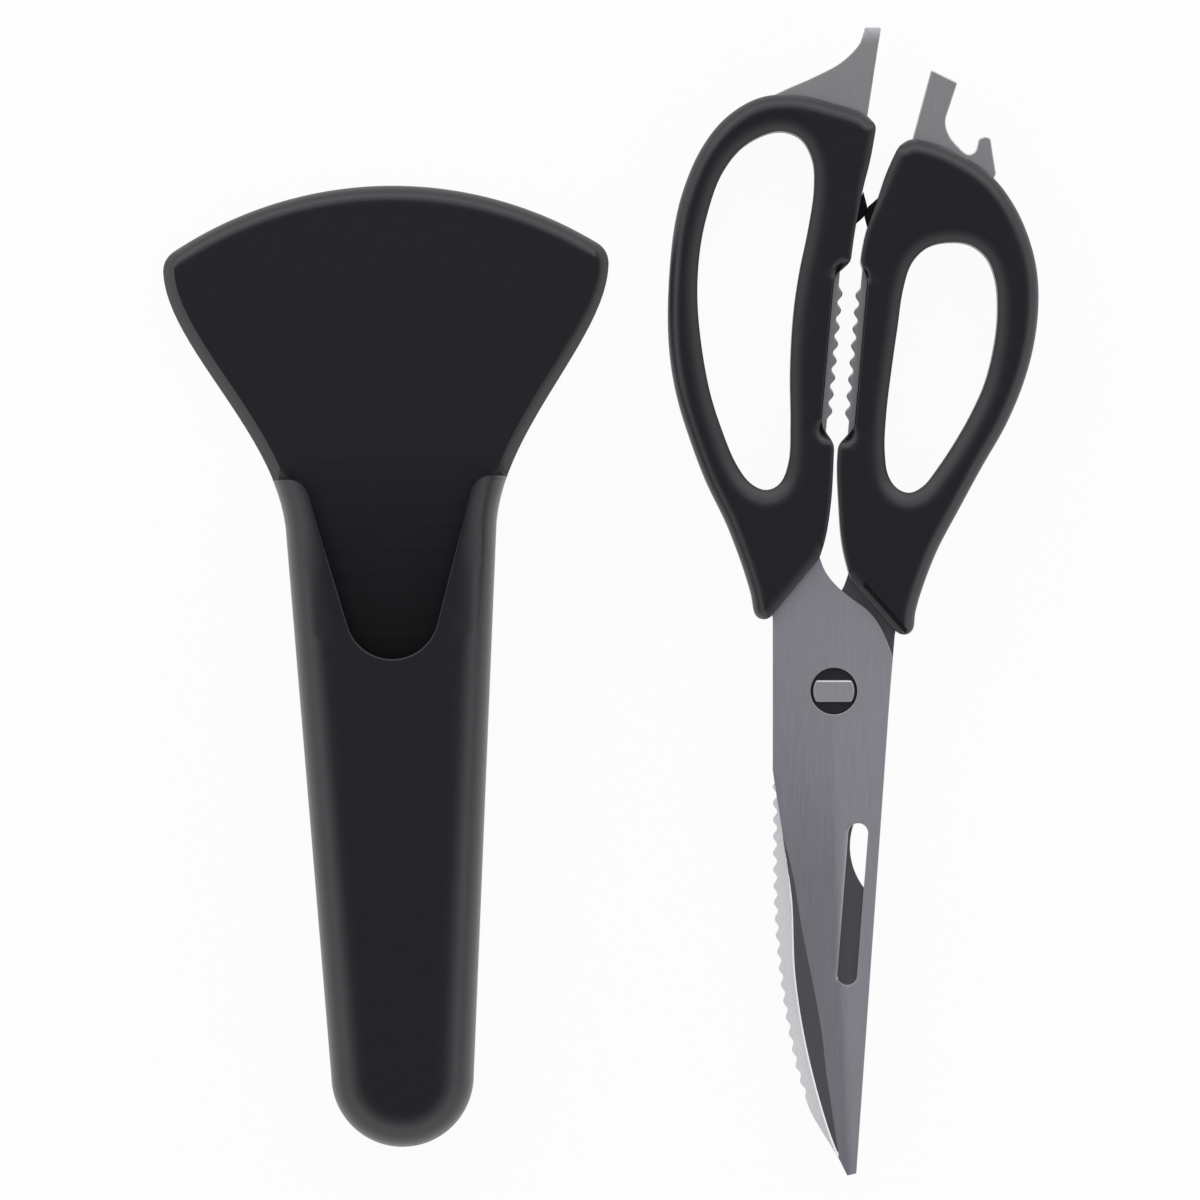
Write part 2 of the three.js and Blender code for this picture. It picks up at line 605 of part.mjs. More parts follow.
// The same round the pocket only, running straight on past the top of the cover
function sheathOutline(inset = 0) {
  const side = holderSide(inset);
  const above = side.findIndex(([, y]) => y > COVER_TOP);
  const [low, high] = [side[above - 1], side[above]];
  const topX = low[0] + ((high[0] - low[0]) * (COVER_TOP - low[1])) / (high[1] - low[1]);
  const upTo = [...side.slice(0, above), [topX, COVER_TOP], [topX, COVER_TOP + 2 * COVER_ROUND]];
  return [...upTo, ...mirrored(upTo.slice(1))];
}

const backOutline = holderOutline();
const aboveCover = block([-REACH, COVER_TOP, -REACH], [REACH, REACH, REACH]);
const belowCover = block([-REACH, -REACH, -REACH], [REACH, COVER_TOP, REACH]);

const magnets = {
  upper_left_magnet: magnetOutline([-UPPER_MAGNET[0], UPPER_MAGNET[1]], MAGNET_LENGTH, MAGNET_WIDTH),
  upper_right_magnet: magnetOutline(UPPER_MAGNET, MAGNET_LENGTH, MAGNET_WIDTH),
  lower_magnet: magnetOutline(LOWER_MAGNET, MAGNET_WIDTH, MAGNET_LENGTH),
};
const magnetTop = REAR_COVER_THICKNESS + MAGNET_THICKNESS;

function magnetOutline([x, y], sizeX, sizeY) {
  return [[-1, -1], [1, -1], [1, 1], [-1, 1]].map(([i, j]) => [x + (i * sizeX) / 2, y + (j * sizeY) / 2]);
}

function holderBackPlate() {
  const fan = crowned(backOutline, [], 0, BACK_THICKNESS, BACK_ROUND).intersect(aboveCover);
  const sheath = plate(backOutline, 0, BACK_THICKNESS).intersect(belowCover);
  const magnetPockets = Object.values(magnets).map((outline) => plate(grown(outline, FIT), 0, magnetTop));
  return cut(
    join(fan, sheath),
    plate(holderOutline(REAR_RIM - FIT), -PAST, REAR_COVER_THICKNESS),
    ...magnetPockets,
  );
}

function holderFrontCover() {
  const outer = crowned(sheathOutline(), [], BACK_THICKNESS, HOLDER_HEIGHT, COVER_ROUND);
  const inside = crowned(
    sheathOutline(SIDE_WALL), [], BACK_THICKNESS, BACK_THICKNESS + POCKET_DEPTH, COVER_ROUND - FRONT_WALL,
  );
  const mouth = plate(mouthOutline(), BACK_THICKNESS, HOLDER_HEIGHT + PAST);
  return cut(outer.intersect(belowCover), inside, mouth);
}

// The rounded V that is cut in the front cover, open at the top
function mouthOutline() {
  const middle = COVER_TOP - MOUTH_DEPTH + MOUTH_ROUND;
  const rise = COVER_TOP - middle;
  const far = Math.hypot(MOUTH_HALF_WIDTH, rise);
  const touch = Math.atan2(rise, MOUTH_HALF_WIDTH) - Math.acos(MOUTH_ROUND / far);
  const curve = new THREE.ArcCurve(0, middle, MOUTH_ROUND, touch, Math.PI - touch, true);
  const arc = curve.getPoints(CIRCLE_STEPS / 2).map((p) => [p.x, p.y]);
  const corner = [MOUTH_HALF_WIDTH, COVER_TOP];
  const lip = rounded(corner, [corner[0] + MOUTH_LIP_ROUND, COVER_TOP], arc[0], MOUTH_LIP_ROUND);
  const above = [lip[0][0], COVER_TOP + MOUTH_ROUND];
  return [above, ...lip, ...arc, ...mirrored(lip), [-above[0], above[1]]];
}

const holderRearCover = () => plate(holderOutline(REAR_RIM), 0, REAR_COVER_THICKNESS);

// Scene graph

function node(name, manifold, look) {
  const mesh = new THREE.Mesh(geometryOf(manifold), new THREE.MeshStandardMaterial(look));
  mesh.name = name;
  return mesh;
}

const scissors = new THREE.Group();
scissors.add(
  node('front_blade', frontBlade(), STEEL),
  node('finger_handle_front_shell', frontShell(fingerHandle), BLACK_PLASTIC),
  node('finger_handle_rear_shell', rearShell(fingerHandle), BLACK_PLASTIC),
  node('finger_jaw', plate(jawOutline(-1), jawLow, jawHigh), STEEL),
  node('finger_bumper', plate(bumperOutline(-1), bumperLow, bumperHigh), BLACK_RUBBER),
  node('pry_tip', endTool(pryOutline, PRY_POST), STEEL),
  node('rear_blade', rearBlade(), BRIGHT_STEEL),
  node('thumb_handle_front_shell', frontShell(thumbHandle), BLACK_PLASTIC),
  node('thumb_handle_rear_shell', rearShell(thumbHandle), BLACK_PLASTIC),
  node('thumb_jaw', plate(jawOutline(1), jawLow, jawHigh), STEEL),
  node('thumb_bumper', plate(bumperOutline(1), bumperLow, bumperHigh), BLACK_RUBBER),
  node('cap_lifter', endTool(lifterOutline, LIFTER_POST), STEEL),
  node('pivot_stud', pivotStud(), BRIGHT_STEEL),
  node('pivot_washer', pivotWasher(), STEEL),
);

const holder = new THREE.Group();
holder.position.set(...HOLDER_PLACE, 0);
holder.rotation.z = THREE.MathUtils.degToRad(HOLDER_TILT);
holder.add(
  node('holder_back_plate', holderBackPlate(), BLACK_PLASTIC),
  node('holder_front_cover', holderFrontCover(), BLACK_PLASTIC),
  node('holder_rear_cover', holderRearCover(), BLACK_PLASTIC),
);
for (const [name, outline] of Object.entries(magnets)) {
  holder.add(node(name, plate(outline, REAR_COVER_THICKNESS, magnetTop), MAGNET_FERRITE));
}

// The origin is under the middle of the whole set, on the surface that it lies on.
const set = new THREE.Group();
set.add(scissors, holder);
set.updateMatrixWorld(true);
const middle = new THREE.Box3().setFromObject(set, true).getCenter(new THREE.Vector3());
set.position.set(-middle.x, -middle.y, 0);

export default set;
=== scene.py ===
# Multi-purpose scissors and their magnetic holder: fine shapes, materials, light and camera.
# Outlines are in millimetres, the scissors' about their pivot and the holder's about its neck.
import math
from collections import namedtuple

import bmesh
import bpy
import numpy as np
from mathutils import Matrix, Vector
from mathutils.geometry import delaunay_2d_cdt


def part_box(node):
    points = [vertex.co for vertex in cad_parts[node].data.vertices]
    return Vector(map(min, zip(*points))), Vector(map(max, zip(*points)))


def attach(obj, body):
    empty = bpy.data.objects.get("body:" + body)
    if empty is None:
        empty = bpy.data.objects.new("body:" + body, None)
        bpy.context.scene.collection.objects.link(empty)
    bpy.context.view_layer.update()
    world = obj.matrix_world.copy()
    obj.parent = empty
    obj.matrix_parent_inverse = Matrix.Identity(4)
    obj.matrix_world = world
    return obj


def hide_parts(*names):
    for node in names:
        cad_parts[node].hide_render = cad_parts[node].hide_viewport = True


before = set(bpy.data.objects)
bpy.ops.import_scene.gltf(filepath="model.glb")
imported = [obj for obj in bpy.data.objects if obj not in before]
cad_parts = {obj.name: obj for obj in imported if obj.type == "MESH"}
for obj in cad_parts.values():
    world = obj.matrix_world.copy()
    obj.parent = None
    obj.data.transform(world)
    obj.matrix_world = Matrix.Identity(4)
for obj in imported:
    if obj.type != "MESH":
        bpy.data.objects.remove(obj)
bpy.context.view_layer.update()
MM = 0.001

# A pair that is named as an edge, rim, bevel or taper is its width and depth
CROWN = 2.0  # how a chamfer curves: 1 leaves it flat

# Levels above the surface that the set lies on
MID = 7.0  # the plane where the two blades meet
HALF_HANDLE = 7.0
FRONT_BLADE = (7.05, 9.55)
REAR_BLADE = (4.45, 6.95)
TOOL = (5.75, 8.25)
BUMPER = (3.5, 10.5)
WASHER = (3.85, 4.45)
RIVET_LOW = 3.15
STUD_HEAD = (8.45, 9.45)
BACK_TOP = 5.0
COVER_LEVELS = (5.0, 17.0)

# Blades
SHANK = 13.3  # half width at the pivot
SPINE_TOP = (12.75, 7.4)
TIP_RIGHT = (4.9, -104.9)
TIP_LEFT = (2.9, -105.4)
SHOULDER = [(10.4, 13.6), (7.6, 17.4), (3.6, 20.4), (0.4, 23.1), (-1.9, 26.1), (-3.1, 29.1)]
TANG = [(-3.9, 35), (-3.9, 47), (-7.9, 47), (-8.8, 40), (-13.6, 33), (-14.6, 24), (-SHANK, 16)]
FRONT_EDGE = [(-SHANK, -17.2), (-9.6, -43.3), (-8.6, -62.9), (-5.6, -80.4), (-0.6, -97.8)]
RIDGE = [
    (-9.7, -36.5), (-8.8, -40.5), (-8.2, -44), (-6.9, -52), (-5.5, -59), (-3.9, -67), (-2.6, -74.5),
    (-1.7, -82.5), (-0.4, -91.2),
]
RIDGE_ENDS = ((-10.9, -31.6), (1.6, -101.6))
BEVEL_SLOPE = 0.42
HONED = (0.35, 0.3)  # width and depth of the honed line along the cutting edge, painted bright as a highlight
HONED_SPAN = (-34, -101)
HONED_RISE = 12.0  # length over which the bright line grows to its full width
HONED_START = 0.01  # its width at the start beside its full width
SCALER_SPINE = [(-SHANK, -17.25), (-12.8, -50.5), (-11, -67.4), (-8.2, -81.9), (-6.1, -88.7)]
SCALER_TAIL = [(-4.7, -92.2), (0.4, -100.6), (2.3, -103.9)]
SCALER_TEETH = 20
SCALER_DEPTH = (1.0, 0.6)  # at the shank and near the tip
SCALER_BEVEL = (3.6, 1.45)  # the ground strip behind the scaler teeth
REAR_TIP = (4.4, -104.4)
REAR_EDGE_TOP = (12.3, 0.0)
THUMB_DROP = 3.9
NOTCH_MIDDLE = (18.34, -33.8)
NOTCH_RADIUS = 14.8
REAR_BEVEL = (3.0, 1.7)
PEELER_ENDS = ((5.3, -30.9), (2.9, -61.8))
PEELER_RADIUS = 2.15
PEELER_BEVEL = (1.3, 0.3)
PIVOT_RECESS = (5.1, 1.2)  # radius and depth
STUD_NECK = 3.2
HEAD_RADIUS = 4.6
HEAD_HALF_WIDTH = 2.45
RIVET_RADIUS = 4.2
WASHER_RADIUS = 5.5
STEEL_EDGE = 0.18  # softened corner of a stamped plate
CRISP_EDGE = 0.08
BAR_EDGE = (0.45, 0.3)
RIVET_EDGE = (1.2, 0.45)

# Handles
FINGER_TIP = (-16.7, 12.5)
FINGER_OUTER = [
    (-18, 21.1), (-19.9, 27.2), (-23.4, 36.4), (-27.8, 45.5), (-31.3, 54.7), (-34.1, 63.8),
    (-35.7, 73), (-36.1, 84), (-34.8, 100.4), (-32.6, 109.5), (-28.6, 118.4), (-23.4, 124.8),
    (-16.3, 129), (-8.4, 129.7), (-0.3, 127.9), (7, 125.3), (9.2, 122.8),
]
FINGER_INNER = [
    (9.2, 122.8), (7.9, 115.6), (6.2, 108.7), (4.4, 99.1), (2.9, 87.3), (1.4, 74.3), (0.3, 61.2),
    (-0.1, 50.3), (-0.6, 41.6), (-1.7, 34), (-3.1, 29),
]
FINGER_HOLE = [
    (-12.1, 121.7), (-19.3, 118.7), (-24.3, 112.6), (-27.6, 103.4), (-29.3, 94.3), (-29.6, 83),
    (-27.4, 66.9), (-24.7, 57.7), (-21, 48.9), (-17.8, 44.9), (-14.6, 43.7), (-11.6, 45.3),
    (-9.8, 49.9), (-9.4, 57.7), (-9.5, 69.9), (-8.8, 82.1), (-7.5, 91.2), (-5.6, 100.4),
    (-4.3, 109.5), (-4.7, 115.6), (-7.3, 120.2),
]
THUMB_TIP = (17.2, 8.9)
THUMB_OUTER = [
    (17.6, 16.8), (18.8, 21.1), (22.3, 30.3), (27.1, 39.4), (32.1, 48.6), (37.3, 57.7),
    (41.2, 66.9), (43.6, 76), (44.5, 85.1), (43.9, 92.8), (41.7, 100.4), (38.4, 106.9),
    (34.1, 112.2), (27.5, 116.7), (21, 119.4), (16.6, 120), (14, 118.4),
]
THUMB_INNER = [
    (14, 118.4), (11.4, 112.6), (9.3, 106.3), (6.8, 99.1), (5, 87.3), (3.5, 74.3), (2, 61.2),
    (0.8, 50.4), (1, 41.6), (1.8, 31.8), (3.6, 24.2),
]
THUMB_HOLE = [
    (26, 97.6), (20.6, 96.6), (16.9, 93), (15, 87.2), (13.8, 79.1), (12.5, 69.9), (11.4, 60.8),
    (11, 52.5), (11.8, 46.8), (13.8, 44), (16.4, 43.1), (19.5, 44.6), (22.7, 48.6), (26.7, 54.7),
    (30.1, 60.8), (32.8, 66.9), (34.7, 74.3), (35.6, 82.1), (35.1, 89.5), (33.2, 94.2),
    (29.9, 96.9),
]
TIP_ROUND = 2.2
RIM = (3.2, 3.4)  # the rounded outer edge
RIM_SLOPE = 0.6
HOLE_RIM = (4.2, 2.0)
CLOSING_EDGE = (1.3, 0.55)  # where a handle faces its neighbour
TOP_EDGE = (2.6, 1.1)  # the same above the bumpers
TOP_SPAN = (104, 112)
COLLAR_EDGE = (3.4, 1.35)  # along the slanted foot that holds the blade
GROOVE = (1.15, 1.3, 1.85, 2.0)  # both sides of the groove along the thumb handle's foot
GROOVE_DEPTH = 1.8
GROOVE_START = (2.4, 3.2)  # from the inner end of the foot
GROOVE_SKIP = 3  # points of the foot before the lines of its groove
WINDOW_EDGE = (0.5, 0.5)
PARTING_DEPTH = 0.25  # of the seam between two shells
PARTING_LEVELS = (0.05, 0.2, 0.4)  # of the seam's bottom and its mouth, from the middle plane

# Jaws, bumpers and end tools
JAW_MIDDLE = (2.2, 73.5)
JAW_LEAN = math.radians(5)
JAW_GAP = 4.8
JAW_LENGTH = 39.0
JAW_SHOWN = 1.2
JAW_ROOT = 3.0
JAW_TEETH = 8
JAW_PITCH = 3.66
JAW_TOOTH = 1.0
JAW_BLUNT = 0.8  # below 1 the teeth have broad tops
TOOL_EDGE = 0.25
WINDOW_FIT = 0.3
WINDOW_SLANT = {1: 3.5, -1: 4.0}  # run of the sloping upper and lower ends of the jaw's window
BUMPER_MIDDLE = (7, 104.3)
BUMPER_LEAN = math.radians(17)
BUMPER_EDGE = 0.3
BUMPER_HALF = [(2, -4.85), (2, -1.85), (4, -1.85), (1.0, -0.01)]
PRY_CURVE = [(6.8, 144.4), (5.7, 141.1), (1.8, 137), (-3.8, 133.9), (-10.6, 130.9), (-15, 128.8)]
PRY_REST = [(-14, 126), (-3.4, 124), (-0.6, 114), (5.3, 114), (7.5, 126.1), (10.3, 144.4)]
PRY_TAPER = (3.5, 0.42)
LIFTER_CORNER = (21.2, 135.2)
LIFTER_NOTCH = [
    (26.9, 132.4), (25.4, 127.8), (24.3, 123.9), (25, 121.2), (26.6, 119), (29.3, 116.8),
    (30.8, 117.5), (31.6, 120.2),
]
LIFTER_REST = [
    (33, 120.7), (34.1, 120.3), (34.7, 116.3), (35.3, 112.6), (32.4, 106), (15.4, 104), (15.2, 113),
]

# Holder
NECK_PLACE = (-96.5, 41.6)  # from the pivot
TILT = math.radians(1.2)
FAN_TOP = 68.6
FAN_CORNER = (48.6, 53.6)
FAN_CORNER_ROUND = 3.0
FAN_FLARE = ((48, 34), (23.2, 14))
NECK = (22.8, -8)
SHEATH_END = (15.5, -125.4)
COVER_TOP = 4.8
COVER_ROUND = 9.0
COVER_DROP = 11.0
MOUTH_EDGE = 0.4
WALL = 2.0
HOLLOW_BELOW = 1.0  # how far the body that hollows the cover stands out below it
HOLLOW_ABOVE = 27.0  # and above it
MOUTH_HALF_WIDTH = 18.6
MOUTH_DEPTH = 39.4
MOUTH_ROUND = 10.0
POCKET_SHADE_HALF_WIDTH = 20.0
POCKET_SHADE_SPAN = (9.0, -30.0)  # where the painted shade on the back wall begins and where it is darkest
LIP_ROUND = 5.0
REAR_RIM = 5.0
REAR_COVER_TOP = 1.2
BACK_EDGE = 0.5
FAN_START = 2.0  # length over which the fan's edge grows above the cover
FAN_EDGE = (3.4, 4.2, 0.5, CROWN)  # width, depth, slope and crown along the fan's top
FLANK_EDGE = (2.5, 3.4, 1.0, 1.15)  # the same along its flanks
SEAM = 0.3  # softened edge at the seam between the back plate and its cover

# Fineness
OUTLINE_STEP = 0.7
FINE_STEP = 0.35
RIDGE_STEP = 0.5
SCALER_STEP = 0.2
TOOTH_STEP = 0.15
SPLINE_STEPS = 16
ARC_STEPS = 24
CIRCLE_STEPS = 72
RINGS = ((1.0, 2), (2.5, 4), (math.inf, 7))  # rings of points for edges up to each width
RING_SHARE = 0.85  # a ring's points stay at least this share of their distance from every outline
CHUNK = 1000  # points that are measured at a time
ON_EDGE = 1e-3  # nearer than this, a point counts as lying on an outline
TINY = 1e-9
WELD = 1e-5  # corners nearer than this become one
SLIVER = 1e-5  # twice the area of the smallest face that is kept
MERGE = 2e-4
MELT = 1e-4
STEEL_SHARP = math.radians(14)
PLASTIC_SHARP = math.radians(40)

# Rounding of an outline's corners: its reach and the step between points
SOFT_SPAN = 3  # reaches on either side that the rounding takes in
HANDLE_SOFT = (0.6, OUTLINE_STEP)
LOOP_SOFT = (0.5, OUTLINE_STEP)
BLADE_SOFT = (0.2, 0.5)
SCALER_SOFT = (0.16, 0.4)
BAR_SOFT = (0.25, 0.25)
JAW_SOFT = (0.15, 0.3)
BUMPER_SOFT = (0.14, 0.2)
PRY_SOFT = (0.25, 0.4)
LIFTER_SOFT = (0.2, 0.4)

# Distances from a line at which its own kind of edge starts to fade and is gone
HANDLE_FADE = (0.6, 1.8)
SLOT_FADE = (0.3, 0.9)
CUTTING_FADE = (0.5, 1.0)
PRY_FADE = (0.3, 0.7)
COVER_FADE = (0.2, 0.8)


# Outlines


def hermite(b, c, m, n, t):
    """Points between b and c for speeds m and n."""
    return b + t * m + t**2 * (3 * (c - b) - 2 * m - n) + t**3 * (2 * (b - c) + m + n)


def curve(points, closed=False):
    """A centripetal curve through the points."""
    p = np.array(points, float)
    ends = (p[-1], p[:2]) if closed else (2 * p[0] - p[1], 2 * p[-1] - p[-2])
    p = np.vstack([ends[0], p, ends[1]])
    t = np.arange(SPLINE_STEPS)[:, None] / SPLINE_STEPS
    out = []
    for a, b, c, d in zip(p, p[1:], p[2:], p[3:]):
        before, here, after = (math.sqrt(math.dist(*pair)) for pair in ((a, b), (b, c), (c, d)))
        m = ((b - a) / before - (c - a) / (before + here) + (c - b) / here) * here
        n = ((c - b) / here - (d - b) / (here + after) + (d - c) / after) * here
        out.append(hermite(b, c, m, n, t))
    return np.vstack(out if closed else [*out, p[-2:-1]])


def arc(middle, radius, start, end, steps=ARC_STEPS):
    turn = np.linspace(start, end, steps + 1)
    return np.array(middle) + radius * np.column_stack([np.cos(turn), np.sin(turn)])


def circle(radius):
    return arc((0, 0), radius, 0, 2 * math.pi, CIRCLE_STEPS)[:-1]


def unit(vector):
    return np.array(vector, float) / np.linalg.norm(vector)


def rounded(before, corner, after, radius):
    """The arc that rounds a corner between two straight runs."""
    one, two = (unit(np.subtract(p, corner)) for p in (before, after))
    half = math.acos(one @ two) / 2
    middle = corner + unit(one + two) * radius / math.sin(half)
    touches = (corner + way * radius / math.tan(half) - middle for way in (one, two))
    start, end = (math.atan2(y, x) for x, y in touches)
    turn = (end - start + math.pi) % (2 * math.pi) - math.pi
    return arc(middle, radius, start, start + turn)


def even(line, step, closed=True):
    """The same line with its points a step apart."""
    p = np.vstack([line, line[:1]]) if closed else np.array(line, float)
    along = np.concatenate([[0], np.cumsum(np.hypot(*np.diff(p, axis=0).T))])
    count = max(3, round(along[-1] / step))
    at = np.linspace(0, along[-1], count + 1)
    q = np.column_stack([np.interp(at, along, p[:, k]) for k in (0, 1)])
    return q[:-1] if closed else q


def turned(loop, left=True):
    """The loop with its material on the left: outer loops run one way and holes the other."""
    p = np.array(loop, float)
    q = np.roll(p, -1, axis=0)
    area = (p[:, 0] * q[:, 1] - q[:, 0] * p[:, 1]).sum()
    return p if (area > 0) == left else p[::-1]


def soft(loop, reach, step, left=True):
    """A closed outline with even points and rounded corners."""
    p = even(turned(loop, left), step)
    span = int(SOFT_SPAN * reach / step) + 1
    shifts = np.arange(-span, span + 1)
    weights = np.exp(-0.5 * (shifts * step / reach) ** 2)
    return sum(w * np.roll(p, -k, axis=0) for w, k in zip(weights / weights.sum(), shifts))


def inward(loop):
    """Directions into the material at each point of a loop."""
    ahead = np.roll(loop, -1, axis=0) - loop
    ahead /= np.linalg.norm(ahead, axis=1)[:, None]
    both = ahead + np.roll(ahead, 1, axis=0)
    both /= np.linalg.norm(both, axis=1)[:, None] + TINY
    return np.column_stack([-both[:, 1], both[:, 0]])


def distances(points, a, b):
    """Distance of every point from every segment."""
    run_x, run_y = (b - a).T
    x = points[:, :1] - a[:, 0]
    y = points[:, 1:] - a[:, 1]
    t = np.clip((x * run_x + y * run_y) / (run_x**2 + run_y**2), 0, 1)
    return np.hypot(x - t * run_x, y - t * run_y)


def nearest(points, line):
    """Distance of every point from an open line."""
    line = np.array(line, float)
    parts = [points[i : i + CHUNK] for i in range(0, len(points), CHUNK)]
    return np.concatenate([distances(part, line[:-1], line[1:]).min(axis=1) for part in parts])


def along_line(points, line, near, far):
    """1 where a point lies on the line, fading to 0 away from it."""
    return np.clip((far - nearest(points, line)) / (far - near), 0, 1)


def mixed(weight, on, off):
    return weight * on + (1 - weight) * off


def mirrored(points, drop=0.0):
    return [(-x, y - drop) for x, y in points][::-1]


# Surfaces

# Along an outline a surface falls by depth over a width: in a quarter round where slope is 0,
# and in a crowned chamfer where it is 1. A crown of 1 leaves that chamfer flat.
Edge = namedtuple("Edge", "loop width depth slope crown")


def edge(loop, width, depth=None, slope=0.0, crown=CROWN):
    values = (width, width if depth is None else depth, slope, crown)
    return Edge(loop, *(np.broadcast_to(np.asarray(v, float), len(loop)) for v in values))


def fall(points, edges, extra=None):
    """How far the surface lies below its flat level at each point."""
    low = np.zeros(len(points))
    for e in edges:
        ends = np.roll(e.loop, -1, axis=0)
        for i in range(0, len(points), CHUNK):
            part = slice(i, i + CHUNK)
            away = distances(points[part], e.loop, ends)
            u = np.clip(np.where(away < ON_EDGE, 0, away) / e.width, 0, 1)
            quarter = 1 - np.sqrt(1 - (1 - u) ** 2)
            drop = e.depth * mixed(e.slope, (1 - u) ** e.crown, quarter)
            low[part] = np.maximum(low[part], drop.max(axis=1))
    return low if extra is None else np.maximum(low, extra(points))


def ring_points(loops, edges):
    """Points inside the outlines at set distances from them, enough to round the edges."""
    found = []
    wanted = []
    for e in edges:
        widest = e.width.max()
        steps = next(count for limit, count in RINGS if widest < limit)
        shares = 1 - np.cos(np.linspace(0, math.pi / 2, steps + 1)[1:])
        for share in shares:
            found.append(e.loop + inward(e.loop) * (share * e.width)[:, None])
            wanted.append(share * e.width)
        found.append(e.loop + inward(e.loop) * (e.width + OUTLINE_STEP)[:, None])
        wanted.append(e.width + OUTLINE_STEP)
    points = np.vstack(found)
    wanted = np.concatenate(wanted)
    rims = [np.vstack([loop, loop[:1]]) for loop in loops]
    away = np.min([nearest(points, rim) for rim in rims], axis=0)
    return points[away > RING_SHARE * wanted]


def inside(points, loops):
    odd = np.zeros(len(points), bool)
    for loop in loops:
        for (ax, ay), (bx, by) in zip(loop, np.roll(loop, -1, axis=0)):
            if ay == by:
                continue
            crosses = (ay > points[:, 1]) != (by > points[:, 1])
            odd ^= crosses & (points[:, 0] < ax + (bx - ax) * (points[:, 1] - ay) / (by - ay))
    return odd


def triangulated(loops, points, lines=()):
    """Triangles that fill the outlines, with the points and lines as corners and edges."""
    spots = []
    links = []
    for line, closed in [*((loop, True) for loop in loops), *((line, False) for line in lines)]:
        first = len(spots)
        spots.extend(line)
        links.extend((i, i + 1) for i in range(first, len(spots) - 1))
        if closed:
            links.append((len(spots) - 1, first))
    spots.extend(points)
    made = delaunay_2d_cdt([Vector(p) for p in spots], links, [], 0, WELD)
    xy = np.array([tuple(v) for v in made[0]])
    faces = np.array([tuple(f) for f in made[2]])
    a, b, c = (xy[faces[:, k]] for k in range(3))
    one, two = b - a, c - a
    spread = np.abs(one[:, 0] * two[:, 1] - one[:, 1] * two[:, 0])
    return xy, faces[(spread > SLIVER) & inside((a + b + c) / 3, loops)]


def raised(loop, z):
    return np.column_stack([loop, np.broadcast_to(z, len(loop))])


class Skin:
    """The points and faces of one piece. A face's mark picks one of the piece's materials."""

    def __init__(self):
        self.points = []
        self.faces = []
        self.marks = []

    def add(self, points, faces, marks=0):
        first = len(self.points)
        self.points.extend(tuple(p) for p in points)
        self.faces.extend(tuple(first + int(i) for i in f) for f in faces)
        self.marks.extend(int(m) for m in np.broadcast_to(marks, len(faces)))

    def sheet(self, loops, level, side, edges, extra=None, lines=(), marker=None):
        """A surface that faces up (side 1) or down (side -1)."""
        xy, faces = triangulated(loops, ring_points(loops, edges) if edges else [], lines)
        marks = marker(xy[faces].mean(axis=1)) if marker else 0
        z = level - side * fall(xy, edges, extra)
        self.add(np.column_stack([xy, z]), faces if side > 0 else faces[:, ::-1], marks)

    def wall(self, low, high, mark=0):
        """A strip between two loops of points, one above the other."""
        count = len(low)
        after = (np.arange(count) + 1) % count
        here = np.arange(count)
        quads = np.column_stack([here, after, after + count, here + count])
        self.add(np.vstack([low, high]), quads, mark)

    def plate(self, loops, low, high, edges, under=None, extra=None, lines=(), marker=None):
        """A closed plate with shaped upper and lower edges."""
        under = under or edges
        self.sheet(loops, high, 1, edges, extra, lines, marker)
        self.sheet(loops, low, -1, under)
        for loop in loops:
            top = high - fall(loop, edges, extra)
            self.wall(raised(loop, low + fall(loop, under)), raised(loop, top))


low_corner, high_corner = (np.array(corner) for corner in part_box("pivot_stud"))
PIVOT = (low_corner + high_corner) * (0.5, 0.5, 0) / MM


def about_pivot(points):
    return (np.array(points) + PIVOT) * MM


def about_neck(points):
    p = np.array(points)
    x = p[:, 0] * math.cos(TILT) - p[:, 1] * math.sin(TILT)
    y = p[:, 0] * math.sin(TILT) + p[:, 1] * math.cos(TILT)
    return about_pivot(np.column_stack([x, y, p[:, 2]]) + (*NECK_PLACE, 0))


def mesh_object(name, skin, place, sharp):
    mesh = bpy.data.meshes.new(name)
    mesh.from_pydata(place(skin.points).tolist(), [], skin.faces)
    mesh.polygons.foreach_set("material_index", skin.marks)
    shape = bmesh.new()
    shape.from_mesh(mesh)
    bmesh.ops.remove_doubles(shape, verts=shape.verts, dist=MERGE * MM)
    bmesh.ops.dissolve_degenerate(shape, edges=shape.edges, dist=MELT * MM)
    shape.to_mesh(mesh)
    shape.free()
    mesh.shade_smooth()
    mesh.set_sharp_from_angle(angle=sharp)
    piece = bpy.data.objects.new(name, mesh)
    bpy.context.scene.collection.objects.link(piece)
    return piece


def dress(piece, body, node, slot, *materials):
    for material in materials:
        piece.data.materials.append(material)
    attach(piece, body)
    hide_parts(node)


# Materials


